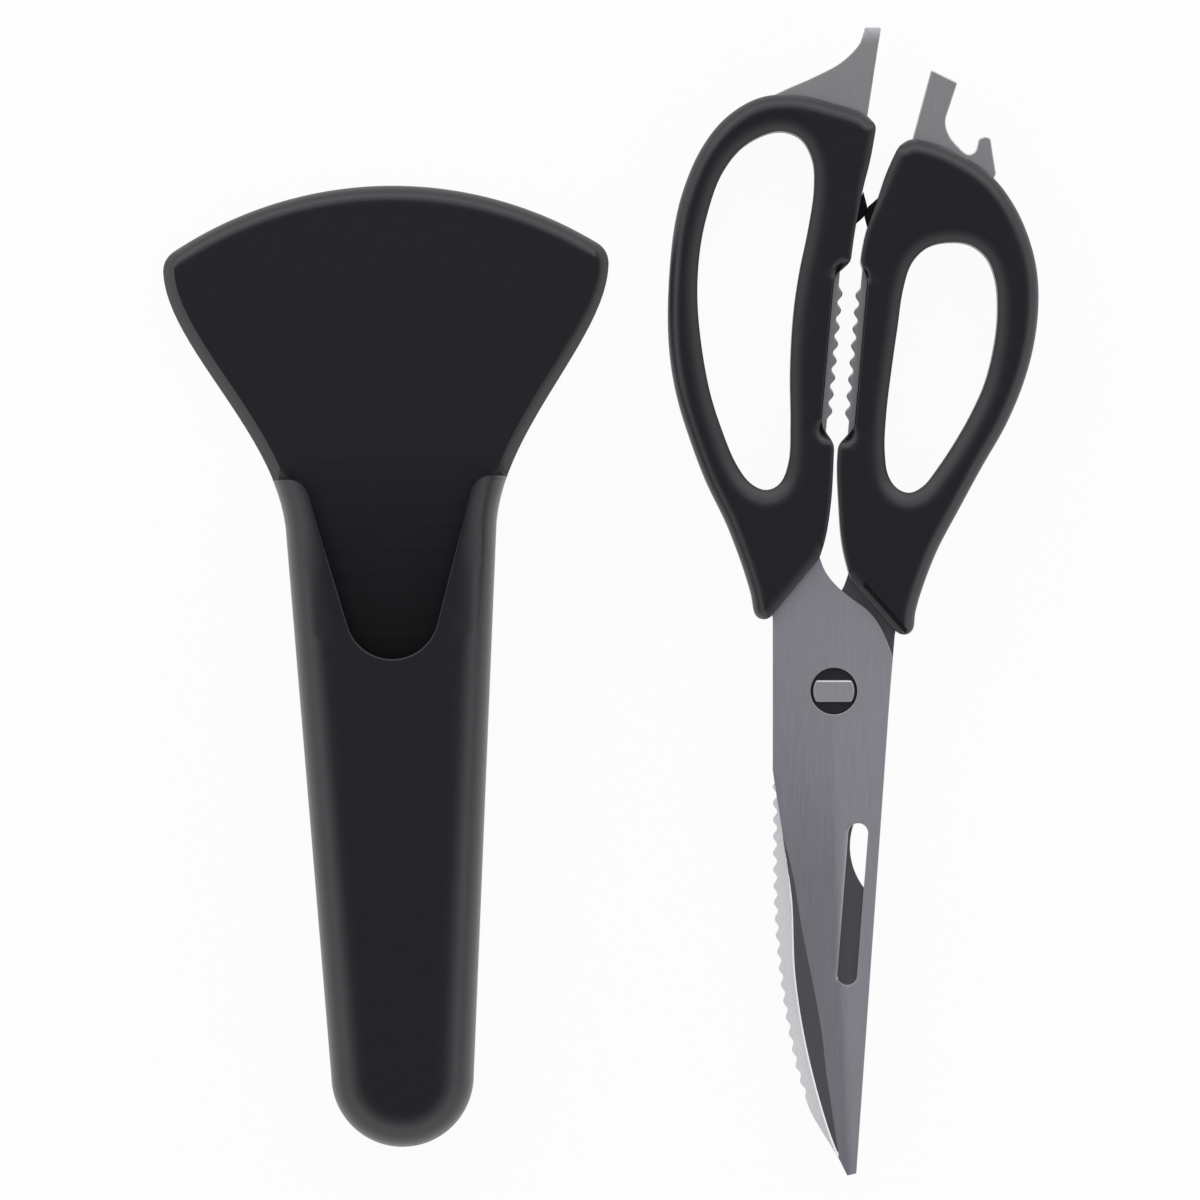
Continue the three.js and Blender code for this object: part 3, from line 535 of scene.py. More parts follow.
class Graph:
    """Shorthand for a material's nodes, which all read the piece's own coordinates."""

    def __init__(self, name):
        self.material = bpy.data.materials.new(name)
        self.material.use_nodes = True
        self.tree = self.material.node_tree
        self.shader = self.tree.nodes["Principled BSDF"]
        self.place = self.node("ShaderNodeTexCoord").outputs["Object"]

    def node(self, kind, inputs=(), **settings):
        made = self.tree.nodes.new(kind)
        for key, value in settings.items():
            setattr(made, key, value)
        for key, value in dict(inputs).items():
            self.feed(made.inputs[key], value)
        return made

    def feed(self, socket, value):
        if isinstance(value, bpy.types.NodeSocket):
            self.tree.links.new(value, socket)
        else:
            socket.default_value = value

    def set(self, **values):
        for key, value in values.items():
            self.feed(self.shader.inputs[key.replace("_", " ")], value)

    def stretched(self, x, y, z, turn=0.0):
        turns = (0, 0, math.radians(turn))
        inputs = {"Vector": self.place, "Scale": (x, y, z), "Rotation": turns}
        return self.node("ShaderNodeMapping", inputs).outputs["Vector"]

    def noise(self, scale, detail=2.0, rough=0.5, place=None):
        inputs = {"Scale": scale, "Detail": detail, "Roughness": rough}
        inputs["Vector"] = place or self.place
        return self.node("ShaderNodeTexNoise", inputs).outputs["Fac"]

    def shades(self, factor, *stops):
        """A colour for each factor, from stops of (factor, colour)."""
        made = self.node("ShaderNodeValToRGB", {"Fac": factor})
        ramp = made.color_ramp
        while len(ramp.elements) < len(stops):
            ramp.elements.new(0.5)
        for element, (at, colour) in zip(ramp.elements, stops):
            element.position = at
            element.color = (*colour, 1)
        return made.outputs["Color"]

    def between(self, factor, low, high, start=0.3, end=0.7):
        inputs = {"Value": factor, "From Min": start, "From Max": end}
        inputs |= {"To Min": low, "To Max": high}
        return self.node("ShaderNodeMapRange", inputs).outputs["Result"]

    def bump(self, height, strength, distance):
        inputs = {"Height": height, "Strength": strength, "Distance": distance}
        return self.node("ShaderNodeBump", inputs).outputs["Normal"]


# Moulded plastic: scales of its noises, spread of its tones and gloss, height of its grain
FLOW_SCALE, FLECK_SCALE, GLOSS_SCALE, GRAIN_SCALE = 18, 2600, 420, 1900
FLOW_STRETCH = (1, 0.35, 1)
FLECK_SHARE = 0.35
PLASTIC_TONES = (0.8, 1.2)
PLASTIC_STOPS = (0.3, 0.7)
PLASTIC_GLOSS = 0.015
GRAIN_HEIGHT = 4e-5

# Ground steel: the same for its brushing and its broad shades
BRUSH_STRETCH = (5200, 130, 5200)
BROAD_SCALE = 26
BROAD_STRETCH = (1, 0.45, 1)
BROAD_SHARE = 0.7
STEEL_TONES = (0.72, 0.95, 1.06)
STEEL_STOPS = (0.0, 0.35, 0.65)
STEEL_GLOSS = 0.04
BRUSH_HEIGHT = 8e-6

# Painted shade on the cutting side of the front blade's lower face, in metres
BLADE_SHADE_ACROSS = (1.0, 0.041, 0)
BLADE_SHADE_LINE = (0.0485, 0.0505)
BLADE_SHADE_SPAN = (-0.06, -0.005)
HOLLOW_SHADE = 0.52


def tones(colour, shares):
    return [tuple(share * c for c in colour) for share in shares]


def plastic(name, colour, rough, grain, specular):
    """Moulded plastic: a fine spark-eroded grain, faint flow marks and slightly uneven gloss."""
    g = Graph(name)
    flow = g.noise(FLOW_SCALE, detail=3, rough=0.55, place=g.stretched(*FLOW_STRETCH))
    fleck = g.noise(FLECK_SCALE, rough=0.6)
    mix = {"Factor": FLECK_SHARE, "A": flow, "B": fleck}
    tone = g.node("ShaderNodeMix", mix, data_type="FLOAT").outputs["Result"]
    g.set(Base_Color=g.shades(tone, *zip(PLASTIC_STOPS, tones(colour, PLASTIC_TONES))))
    gloss = g.noise(GLOSS_SCALE, detail=3)
    g.set(Roughness=g.between(gloss, rough - PLASTIC_GLOSS, rough + PLASTIC_GLOSS))
    texture = g.noise(GRAIN_SCALE, detail=3, rough=0.6)
    g.set(Normal=g.bump(texture, grain, GRAIN_HEIGHT))
    g.set(Specular_IOR_Level=specular)
    return g.material


def steel(name, colour, rough, brush, turn=0.0, hollow=None, metallic=1.0):
    """Ground stainless steel: fine brushing along the piece, with tone and gloss that follow it."""
    g = Graph(name)
    lines = g.noise(1, detail=4, rough=0.65, place=g.stretched(*BRUSH_STRETCH, turn))
    broad = g.noise(BROAD_SCALE, detail=3, place=g.stretched(*BROAD_STRETCH, turn))
    mix = {"Factor": BROAD_SHARE, "A": lines, "B": broad}
    tone = g.node("ShaderNodeMix", mix, data_type="FLOAT").outputs["Result"]
    # hollow gives a painted shade that darkens the tone
    if hollow:
        tone = g.node("ShaderNodeMath", {0: tone, 1: hollow(g)}, operation="SUBTRACT").outputs[0]
    g.set(Base_Color=g.shades(tone, *zip(STEEL_STOPS, tones(colour, STEEL_TONES))))
    g.set(Roughness=g.between(lines, rough - STEEL_GLOSS, rough + STEEL_GLOSS))
    g.set(Normal=g.bump(lines, brush, BRUSH_HEIGHT))
    g.set(Metallic=metallic)
    return g.material


def painted_hollow_shade(g):
    """Painted shade, taken off the tone: strongest on the cutting side of the blade's lower face,
    fading towards the spine and the pivot.
    """
    across = g.node("ShaderNodeVectorMath", {0: g.place, 1: BLADE_SHADE_ACROSS}, operation="DOT_PRODUCT")
    along = g.node("ShaderNodeSeparateXYZ", {0: g.place}).outputs["Y"]
    side = g.between(across.outputs["Value"], HOLLOW_SHADE, 0, *BLADE_SHADE_LINE)
    low = g.between(along, 1, 0, *BLADE_SHADE_SPAN)
    return g.node("ShaderNodeMath", {0: side, 1: low}, operation="MULTIPLY").outputs[0]


BLACK = (0.001, 0.0005, 0.005)
HOLDER_FINISH = {"rough": 0.34, "grain": 0.08}
HOLDER_SHINE = 0.62
POCKET_SHADE_BANDS = 9
POCKET_SHADE_SHARE = 0.5  # painted shade: share of the fan's colour and specular left on the pocket's back wall at its bottom
POCKET_SHADE_SHARES = np.linspace(1, POCKET_SHADE_SHARE, POCKET_SHADE_BANDS + 1)[1:]
HANDLE_PLASTIC = plastic("handle_plastic", BLACK, rough=0.34, grain=0.1, specular=0.61)
HOLDER_PLASTIC = plastic("holder_plastic", BLACK, specular=HOLDER_SHINE, **HOLDER_FINISH)
# Painted shade: the pocket's back wall darkens band by band, in colour and specular, deeper into
# the pocket
POCKET_PAINTED_SHADES = [
    plastic(f"holder_pocket_shade_{k}", shade, specular=share * HOLDER_SHINE, **HOLDER_FINISH)
    for k, (share, shade) in enumerate(zip(POCKET_SHADE_SHARES, tones(BLACK, POCKET_SHADE_SHARES)))
]
RUBBER = plastic("bumper_rubber", (0.005, 0.005, 0.006), rough=0.7, grain=0.25, specular=0.2)
MAGNET = plastic("magnet_ferrite", (0.045, 0.045, 0.048), rough=0.6, grain=0.3, specular=0.5)
BLADE_STEEL = steel(
    "blade_steel", (0.54, 0.533, 0.598), rough=0.36, brush=0.06, hollow=painted_hollow_shade
)
# Painted shade: near-black steel on the bevel along the front blade's cutting edge, standing in for
# its dark reflection
BEVEL_PAINTED_DARK = steel("bevel_painted_shade", (0.13, 0.127, 0.144), rough=0.4, brush=0.1, turn=70)
# Painted highlight: near-white, half-metallic steel on the ground strip behind the scaler teeth and
# on the honed line
GRIND_WITH_PAINTED_HIGHLIGHT = steel("ground_steel_painted_highlight", (0.92, 0.915, 0.95), rough=0.3, brush=0.08, metallic=0.55)
# Painted shade: the whole rear blade is given dark steel, as it looks through the slot and beside
# the front blade
REAR_STEEL_SHADE = steel("rear_steel", (0.18, 0.177, 0.196), rough=0.38, brush=0.08)
TOOL_STEEL = steel("tool_steel", (0.52, 0.515, 0.542), rough=0.36, brush=0.08, turn=20)
PIVOT_STEEL = steel("pivot_steel", (0.66, 0.655, 0.69), rough=0.3, brush=0.12, turn=90)
# Painted shade: near-black steel on the floor and wall of the front blade's pivot recess
PIVOT_SEAT_SHADE = steel("pivot_seat_painted_shade", (0.06, 0.059, 0.066), rough=0.4, brush=0.12)


# Handles


def local(points, middle, lean, side):
    """Places along and across a pair of facing pieces: across grows towards the gap."""
    d = np.array(points) - middle
    x = d[:, 0] * math.cos(lean) - d[:, 1] * math.sin(lean)
    return d[:, 0] * math.sin(lean) + d[:, 1] * math.cos(lean), -side * x


def placed(points, middle, lean, side):
    along, across = np.array(points, float).T
    x = -side * across
    return np.column_stack([
        middle[0] + x * math.cos(lean) + along * math.sin(lean),
        middle[1] - x * math.sin(lean) + along * math.cos(lean),
    ])


JAW_BACK = -JAW_GAP / 2 - JAW_SHOWN
WINDOW_HALF = JAW_LENGTH / 2 + WINDOW_FIT


def with_window(loop, side):
    """The handle's outline with the stretch in front of its jaw cut away."""
    along, across = local(loop, JAW_MIDDLE, JAW_LEAN, side)
    gone = (np.abs(along) < WINDOW_HALF) & (across > JAW_BACK)
    first = np.flatnonzero(gone & ~np.roll(gone, 1))[0]
    loop, along, gone = (np.roll(v, -first, axis=0) for v in (loop, along, gone))
    first_end = 1 if along[gone][0] > 0 else -1
    ends = [(way * (WINDOW_HALF - WINDOW_SLANT[way]), JAW_BACK) for way in (first_end, -first_end)]
    corners = placed(ends, JAW_MIDDLE, JAW_LEAN, side)
    return np.vstack([corners, loop[~gone]]), corners


def inset_line(line, depth, loops):
    """The part of a line, moved into the material, that stays clear of the outlines."""
    moved = line + inward(line) * depth
    away = np.min([nearest(moved, np.vstack([loop, loop[:1]])) for loop in loops], axis=0)
    return moved[inside(moved, loops) & (away > STEEL_EDGE)]


def handle(name, body, side, tip, outer, inner, hole, grooved):
    closing = curve(inner)
    whole = np.vstack([rounded(inner[-1], tip, outer[0], TIP_ROUND), curve(outer), closing[1:]])
    cut, corners = with_window(even(whole, FINE_STEP), side)
    rim = soft(cut, *HANDLE_SOFT)
    loops = [rim, soft(curve(hole, True), *LOOP_SOFT, left=False)]
    foot = [tip, inner[-1]] if side < 0 else [inner[-1], tip]
    foot = even(np.array(foot), OUTLINE_STEP, False)
    high = np.clip((rim[:, 1] - TOP_SPAN[0]) / (TOP_SPAN[1] - TOP_SPAN[0]), 0, 1)
    facing = [mixed(high, *pair) for pair in zip(TOP_EDGE, CLOSING_EDGE)]
    shape = [np.full(len(rim), value) for value in (*RIM, RIM_SLOPE)]
    for line, widths in ((closing, facing), (foot, COLLAR_EDGE), (corners, WINDOW_EDGE)):
        near = along_line(rim, line, *HANDLE_FADE)
        shape = [mixed(near, on, off) for on, off in zip((*widths, 1), shape)]
    edges = [edge(rim, *shape), edge(loops[1], *HOLE_RIM, 1)]
    run = unit(foot[1] - foot[0])

    def groove(points):
        """The groove along the foot that the other blade's shoulder passes."""
        along = (points - foot[0]) @ run
        across = (points - foot[0]) @ (-run[1], run[0])
        deep = GROOVE_DEPTH * np.interp(across, GROOVE, (0, 1, 1, 0))
        return deep * np.interp(along, GROOVE_START, (0, 1))

    for part, way in (("front", 1), ("rear", -1)):
        carved = groove if grooved and way > 0 else None
        start = foot[GROOVE_SKIP:]
        lines = [inset_line(start, reach, loops) for reach in GROOVE] if carved else []
        skin = Skin()
        skin.sheet(loops, MID + way * HALF_HANDLE, way, edges, carved, lines)
        skin.sheet(loops, MID, -way, [])
        for loop in loops:
            sunk = loop + inward(loop) * PARTING_DEPTH
            rise = HALF_HANDLE - fall(loop, edges, carved)
            heights = zip((loop, sunk, sunk, loop, loop), (0, *PARTING_LEVELS, rise))
            rings = [raised(line, MID + way * height) for line, height in heights]
            for one, two in zip(rings, rings[1:]):
                skin.wall(*((one, two) if way > 0 else (two, one)))
        piece = mesh_object(f"{name}_{part}", skin, about_pivot, PLASTIC_SHARP)
        dress(piece, body, f"{name}_handle_{part}_shell", "handle_plastic", HANDLE_PLASTIC)


handle("finger", "front_half", -1, FINGER_TIP, FINGER_OUTER, FINGER_INNER, FINGER_HOLE, False)
handle("thumb", "rear_half", 1, THUMB_TIP, THUMB_OUTER, THUMB_INNER, THUMB_HOLE, True)


# Blades


def slot_outline():
    top, bottom = np.array(PEELER_ENDS)
    lean = math.atan2(*(top - bottom)[::-1])
    upper = arc(top, PEELER_RADIUS, lean - math.pi / 2, lean + math.pi / 2)
    lower = arc(bottom, PEELER_RADIUS, lean + math.pi / 2, lean + 3 * math.pi / 2)
    return even(turned(np.vstack([upper, lower]), False), FINE_STEP)


def front_blade():
    left_edge = curve([*FRONT_EDGE, TIP_LEFT])
    outline = np.vstack([[TIP_RIGHT], curve([SPINE_TOP, *SHOULDER]), TANG, left_edge])
    rim = soft(outline, *BLADE_SOFT)
    slot = slot_outline()
    recess = turned(circle(PIVOT_RECESS[0]), False)
    starts = [rim[np.linalg.norm(rim - end, axis=1).argmin()] for end in RIDGE_ENDS]
    ridge = even(curve([starts[0], *RIDGE, starts[1]]), RIDGE_STEP, False)

    def beyond(points):
        """How far a point lies past the ridge, on the side of the cutting edge."""
        at = np.interp(points[:, 1], ridge[::-1, 1], ridge[::-1, 0])
        past = at - points[:, 0]
        past[(points[:, 1] > ridge[0, 1]) | (points[:, 1] < ridge[-1, 1])] = 0
        return np.maximum(past, 0)

    keen = left_edge[(left_edge[:, 1] < HONED_SPAN[0]) & (left_edge[:, 1] > HONED_SPAN[1])]
    keen = even(keen, OUTLINE_STEP, False)

    def keen_share(points):
        """Width of the bright line beside its full width."""
        return np.clip((HONED_SPAN[0] - points[:, 1]) / HONED_RISE, HONED_START, 1)

    def bevel(points):
        drop = np.where(beyond(points) > 0, BEVEL_SLOPE * nearest(points, ridge), 0)
        share = keen_share(points)
        honed = np.clip(1 - nearest(points, keen) / (HONED[0] * share), 0, 1)
        return drop + HONED[1] * share * honed

    # Painted shade on the faces past the ridge (1), painted highlight on the honed line (2)
    def painted_light_marks(points):
        ground = beyond(points) > 0
        return np.where(ground & (nearest(points, keen) < HONED[0] * keen_share(points)), 2, ground)

    left_of_slot = along_line(slot, np.array(PEELER_ENDS) - (PEELER_RADIUS, 0), *SLOT_FADE)
    chamfer = [mixed(left_of_slot, wide, CRISP_EDGE) for wide in PEELER_BEVEL]
    edges = [edge(rim, CRISP_EDGE), edge(slot, *chamfer, left_of_slot), edge(recess, CRISP_EDGE)]
    under = [edge(rim, STEEL_EDGE), edge(slot, STEEL_EDGE)]
    low, high = FRONT_BLADE
    skin = Skin()
    lines = [ridge, inset_line(keen, HONED[0] * keen_share(keen)[:, None], [rim])]
    skin.sheet([rim, slot, recess], high, 1, edges, bevel, lines, painted_light_marks)
    skin.sheet([rim, slot], low, -1, under)
    for loop in (rim, slot):
        top = high - fall(loop, edges, bevel)
        skin.wall(raised(loop, low + fall(loop, under)), raised(loop, top))
    floor = high - PIVOT_RECESS[1]
    # The recess's wall and floor take the painted shade (3)
    skin.wall(raised(recess, floor), raised(recess, high - CRISP_EDGE), 3)
    skin.sheet([turned(recess)], floor, 1, [], marker=lambda p: np.full(len(p), 3))
    piece = mesh_object("front_blade_ground", skin, about_pivot, STEEL_SHARP)
    steel_and_painted_light = (BLADE_STEEL, BEVEL_PAINTED_DARK, GRIND_WITH_PAINTED_HIGHLIGHT, PIVOT_SEAT_SHADE)
    dress(piece, "front_half", "front_blade", "front_steel", *steel_and_painted_light)


def notched_edge():
    """The straight rear edge from the tip upwards, with the bone notch in it."""
    start, end = np.array(REAR_TIP), np.array(REAR_EDGE_TOP)
    run = end - start
    to = start - NOTCH_MIDDLE
    a, b, c = run @ run, 2 * run @ to, to @ to - NOTCH_RADIUS**2
    shares = [(-b + way * math.sqrt(b * b - 4 * a * c)) / (2 * a) for way in (-1, 1)]
    angles = [math.atan2(*(start + s * run - NOTCH_MIDDLE)[::-1]) % (2 * math.pi) for s in shares]
    return np.vstack([[start], arc(NOTCH_MIDDLE, NOTCH_RADIUS, *angles), [end]])


def scaler():
    """The spine from the shank to the tip: a smooth line, and the same with its teeth."""
    line = even(curve([*SCALER_SPINE, *SCALER_TAIL]), SCALER_STEP, False)
    toothed = np.linalg.norm(line - SCALER_SPINE[-1], axis=1).argmin()
    share = np.arange(len(line)) / toothed
    deep = np.interp(share, (0, 1), SCALER_DEPTH)
    wave = np.where(share < 1, deep * (0.5 - 0.5 * np.cos(2 * math.pi * SCALER_TEETH * share)), 0)
    return line, line + inward(line) * wave[:, None]


def rear_blade():
    cutting = notched_edge()
    spine, teeth = scaler()
    tang = np.array(mirrored(TANG, THUMB_DROP))
    shoulder = np.array(mirrored(curve([SPINE_TOP, *SHOULDER]), THUMB_DROP))
    tip = [(TIP_LEFT[0], REAR_TIP[1])]
    rim = soft(np.vstack([cutting, tang, shoulder, teeth, tip]), *SCALER_SOFT)
    sharpened = along_line(rim, cutting, *CUTTING_FADE)
    under = [edge(rim, *(mixed(sharpened, wide, STEEL_EDGE) for wide in REAR_BEVEL), sharpened)]
    wide, deep = SCALER_BEVEL

    def ground(points):
        return deep * np.clip(1 - nearest(points, spine) / wide, 0, 1)

    lines = [inset_line(even(spine, OUTLINE_STEP, False), wide, [rim])]
    skin = Skin()
    # The strip behind the scaler teeth takes the painted highlight (1), the rest of the face the
    # painted shade (0)
    skin.plate(
        [rim], *REAR_BLADE, [edge(rim, CRISP_EDGE)], under, ground, lines,
        lambda p: nearest(p, spine) < wide,
    )
    piece = mesh_object("rear_blade_ground", skin, about_pivot, STEEL_SHARP)
    dress(piece, "rear_half", "rear_blade", "rear_steel", REAR_STEEL_SHADE, GRIND_WITH_PAINTED_HIGHLIGHT)


front_blade()
rear_blade()


# Pivot


def pivot():
    half = math.asin(HEAD_HALF_WIDTH / HEAD_RADIUS)
    ends = [arc((0, 0), HEAD_RADIUS, turn - half, turn + half) for turn in (0, math.pi)]
    bar = soft(np.vstack(ends), *BAR_SOFT)
    rivet = circle(RIVET_RADIUS)
    seat = FRONT_BLADE[1] - PIVOT_RECESS[1] - STEEL_EDGE
    necks = (
        (STUD_NECK, WASHER[0], seat),
        (HEAD_HALF_WIDTH - STEEL_EDGE, seat, STUD_HEAD[0]),
    )
    skin = Skin()
    skin.plate([bar], *STUD_HEAD, [edge(bar, *BAR_EDGE)], [edge(bar, STEEL_EDGE)])
    ends = [edge(rivet, STEEL_EDGE)], [edge(rivet, *RIVET_EDGE)]
    skin.plate([rivet], RIVET_LOW, WASHER[0], *ends)
    for radius, low, high in necks:
        skin.plate([circle(radius)], low, high, [])
    piece = mesh_object("pivot_stud_turned", skin, about_pivot, STEEL_SHARP)
    dress(piece, "rear_half", "pivot_stud", "pivot_steel", PIVOT_STEEL)
    rings = [circle(WASHER_RADIUS), turned(circle(STUD_NECK + WINDOW_FIT), False)]
    skin = Skin()
    skin.plate(rings, *WASHER, [edge(ring, STEEL_EDGE) for ring in rings])
    piece = mesh_object("pivot_washer_turned", skin, about_pivot, STEEL_SHARP)
    dress(piece, "rear_half", "pivot_washer", "pivot_steel", PIVOT_STEEL)


pivot()


# Jaws, bumpers and end tools


def jaw(name, body, side):
    root = -JAW_GAP / 2
    end = WINDOW_HALF
    reach = JAW_TEETH * JAW_PITCH / 2
    along = np.arange(-reach, reach, TOOTH_STEP)
    wave = 0.5 - 0.5 * np.cos(2 * math.pi * (along + reach) / JAW_PITCH)
    front = np.column_stack([along, root + JAW_TOOTH * wave**JAW_BLUNT])
    behind = JAW_BACK - JAW_ROOT
    back = [(end, root), (end, behind), (-end, behind), (-end, root)]
    loop = soft(placed(np.vstack([front, back]), JAW_MIDDLE, JAW_LEAN, side), *JAW_SOFT)
    skin = Skin()
    skin.plate([loop], *TOOL, [edge(loop, TOOL_EDGE)])
    piece = mesh_object(f"{name}_jaw_toothed", skin, about_pivot, STEEL_SHARP)
    dress(piece, body, f"{name}_jaw", "tool_steel", TOOL_STEEL)


def bumper(name, body, side):
    points = [*BUMPER_HALF, *((-a, b) for a, b in BUMPER_HALF[::-1])]
    loop = soft(placed(points, BUMPER_MIDDLE, BUMPER_LEAN, side), *BUMPER_SOFT)
    skin = Skin()
    skin.plate([loop], *BUMPER, [edge(loop, BUMPER_EDGE)])
    piece = mesh_object(f"{name}_bumper_moulded", skin, about_pivot, PLASTIC_SHARP)
    dress(piece, body, f"{name}_bumper", "bumper_rubber", RUBBER)


for name, body, side in (("finger", "front_half", -1), ("thumb", "rear_half", 1)):
    jaw(name, body, side)
    bumper(name, body, side)


def end_tools():
    loop = soft(np.vstack([curve(PRY_CURVE), PRY_REST]), *PRY_SOFT)
    tip = along_line(loop, [PRY_REST[-1], PRY_CURVE[0]], *PRY_FADE)
    edges = [edge(loop, *(mixed(tip, wide, STEEL_EDGE) for wide in PRY_TAPER), tip)]
    skin = Skin()
    skin.plate([loop], *TOOL, edges)
    piece = mesh_object("pry_tip_ground", skin, about_pivot, STEEL_SHARP)
    dress(piece, "front_half", "pry_tip", "tool_steel", TOOL_STEEL)
    loop = soft(np.vstack([[LIFTER_CORNER], curve(LIFTER_NOTCH), LIFTER_REST]), *LIFTER_SOFT)
    skin = Skin()
    skin.plate([loop], *TOOL, [edge(loop, TOOL_EDGE)])
    piece = mesh_object("cap_lifter_stamped", skin, about_pivot, STEEL_SHARP)
    dress(piece, "rear_half", "cap_lifter", "tool_steel", TOOL_STEEL)


end_tools()


# Holder


def bezier(points, steps=ARC_STEPS):
    """A curve from its first point to its last, drawn towards those between."""
    t = np.linspace(0, 1, steps + 1)[:, None]
    p = [np.array(q, float) for q in points]
    n = len(p) - 1
    return sum(math.comb(n, k) * t**k * (1 - t) ** (n - k) * q for k, q in enumerate(p))


def holder_side(inset=0.0):
    """The right side of the holder's outline from its foot to its top, drawn inset."""
    corner = np.array(FAN_CORNER) - inset
    rise = FAN_TOP - inset - corner[1]
    radius = (corner[0] ** 2 + rise**2) / (2 * rise)
    middle = FAN_TOP - inset - radius
    start = math.atan2(corner[1] - middle, corner[0]) + FAN_CORNER_ROUND / radius
    crown = arc((0, middle), radius, start, math.pi / 2)
    flank_points = (NECK, FAN_FLARE[1], FAN_FLARE[0])
    neck, flare, high_flare = (np.array(p) - (inset, 0) for p in flank_points)
    below = corner - (0, FAN_CORNER_ROUND)
    foot = arc((0, SHEATH_END[1]), SHEATH_END[0] - inset, -math.pi / 2, 0)
    flank = bezier([neck, flare, high_flare, below])
    return np.vstack([foot, flank, bezier([below, corner, crown[0]])[1:], crown[1:]])


def holder_outline(inset=0.0):
    side = holder_side(inset)
    return even(np.vstack([side, mirrored(side[1:-1])]), OUTLINE_STEP)


def sheath_side(inset=0.0):
    """The right side from the foot up to the top of the cover."""
    side = holder_side(inset)
    above = np.flatnonzero(side[:, 1] > COVER_TOP)[0]
    x = np.interp(COVER_TOP, side[above - 1 : above + 1, 1], side[above - 1 : above + 1, 0])
    return np.vstack([side[:above], [(x, COVER_TOP)]])


def mouth_side():
    """The right side of the cut in the cover, from its bottom up to the cover's top."""
    middle = COVER_TOP - MOUTH_DEPTH + MOUTH_ROUND
    rise = COVER_TOP - middle
    far = math.hypot(MOUTH_HALF_WIDTH, rise)
    touch = math.atan2(rise, MOUTH_HALF_WIDTH) - math.acos(MOUTH_ROUND / far)
    bottom = arc((0, middle), MOUTH_ROUND, -math.pi / 2, touch)
    corner = np.array([MOUTH_HALF_WIDTH, COVER_TOP])
    down = bottom[-1] - corner
    down /= np.linalg.norm(down)
    reach = LIP_ROUND / math.tan(math.acos(down[0]) / 2)
    lip = bezier([corner + reach * down, corner, corner + (reach, 0)])
    return np.vstack([bottom, lip])


def back_plate():
    rim = holder_outline()
    above = np.clip((rim[:, 1] - COVER_TOP) / FAN_START, 0, 1)
    high = np.clip((rim[:, 1] - FAN_CORNER[1]) / FAN_CORNER_ROUND, 0, 1)
    width, depth, slope, crown = (mixed(high, *pair) for pair in zip(FAN_EDGE, FLANK_EDGE))
    top = [edge(rim, mixed(above, width, SEAM), mixed(above, depth, SEAM), above * slope, crown)]
    rear = [edge(rim, BACK_EDGE)]
    recess = turned(holder_outline(REAR_RIM - SEAM), False)
    # Lines between the bands of painted shade in the pocket
    levels = np.linspace(*POCKET_SHADE_SPAN, POCKET_SHADE_BANDS)
    half = POCKET_SHADE_HALF_WIDTH
    lines = [even(np.array([(-half, y), (half, y)]), OUTLINE_STEP, False) for y in levels]

    def shade_band(points):
        """How many bands of painted shade into the pocket a point lies."""
        inner = np.abs(points[:, 0]) < half
        return np.where(inner, (points[:, 1, None] < levels).sum(axis=1), 0)

    skin = Skin()
    skin.sheet([rim], BACK_TOP, 1, top, None, lines, shade_band)
    skin.sheet([rim, recess], 0, -1, [*rear, edge(recess, SEAM)])
    skin.wall(raised(rim, fall(rim, rear)), raised(rim, BACK_TOP - fall(rim, top)))
    skin.wall(raised(recess, SEAM), raised(recess, REAR_COVER_TOP))
    skin.sheet([turned(recess)], REAR_COVER_TOP, -1, [])
    piece = mesh_object("holder_back_moulded", skin, about_neck, PLASTIC_SHARP)
    dress(piece, "holder", "holder_back_plate", "holder_plastic", HOLDER_PLASTIC, *POCKET_PAINTED_SHADES)
    lid = holder_outline(REAR_RIM)
    skin = Skin()
    skin.plate([lid], 0, REAR_COVER_TOP, [edge(lid, SEAM)])
    piece = mesh_object("holder_rear_lid", skin, about_neck, PLASTIC_SHARP)
    dress(piece, "holder", "holder_rear_cover", "holder_plastic", HOLDER_PLASTIC)


def front_cover():
    side = sheath_side()
    mouth = mouth_side()
    right = np.vstack([side, mouth[::-1]])
    rim = even(turned(np.vstack([right, mirrored(right)])), OUTLINE_STEP)
    outer = along_line(rim, np.vstack([mirrored(side), side]), *COVER_FADE)
    edges = [edge(rim, *(mixed(outer, wide, MOUTH_EDGE) for wide in (COVER_ROUND, COVER_DROP)))]
    low, high = COVER_LEVELS
    skin = Skin()
    skin.plate([rim], low, high, edges, [edge(rim, SEAM)])
    piece = mesh_object("holder_cover_moulded", skin, about_neck, PLASTIC_SHARP)
    hollow = sheath_side(WALL)
    hollow = np.vstack([hollow, [(hollow[-1, 0], COVER_TOP + HOLLOW_ABOVE)]])
    loop = even(turned(np.vstack([hollow, mirrored(hollow[1:])])), OUTLINE_STEP)
    skin = Skin()
    ends = [edge(loop, COVER_ROUND - WALL)], [edge(loop, SEAM)]
    skin.plate([loop], low - HOLLOW_BELOW, high - WALL, *ends)
    cutter = mesh_object("hollow", skin, about_neck, PLASTIC_SHARP)
    carve(piece, cutter)
    dress(piece, "holder", "holder_front_cover", "holder_plastic", HOLDER_PLASTIC)


def carve(piece, cutter):
    """Takes the cutter out of the piece and drops it."""
    step = piece.modifiers.new("hollow", "BOOLEAN")
    step.operation = "DIFFERENCE"
    step.solver = "EXACT"
    step.object = cutter
    seen = bpy.context.evaluated_depsgraph_get()
    made = bpy.data.meshes.new_from_object(piece.evaluated_get(seen))
    piece.modifiers.clear()
    piece.data = made
    made.shade_smooth()
    made.set_sharp_from_angle(angle=PLASTIC_SHARP)
    bpy.data.objects.remove(cutter)


back_plate()
front_cover()

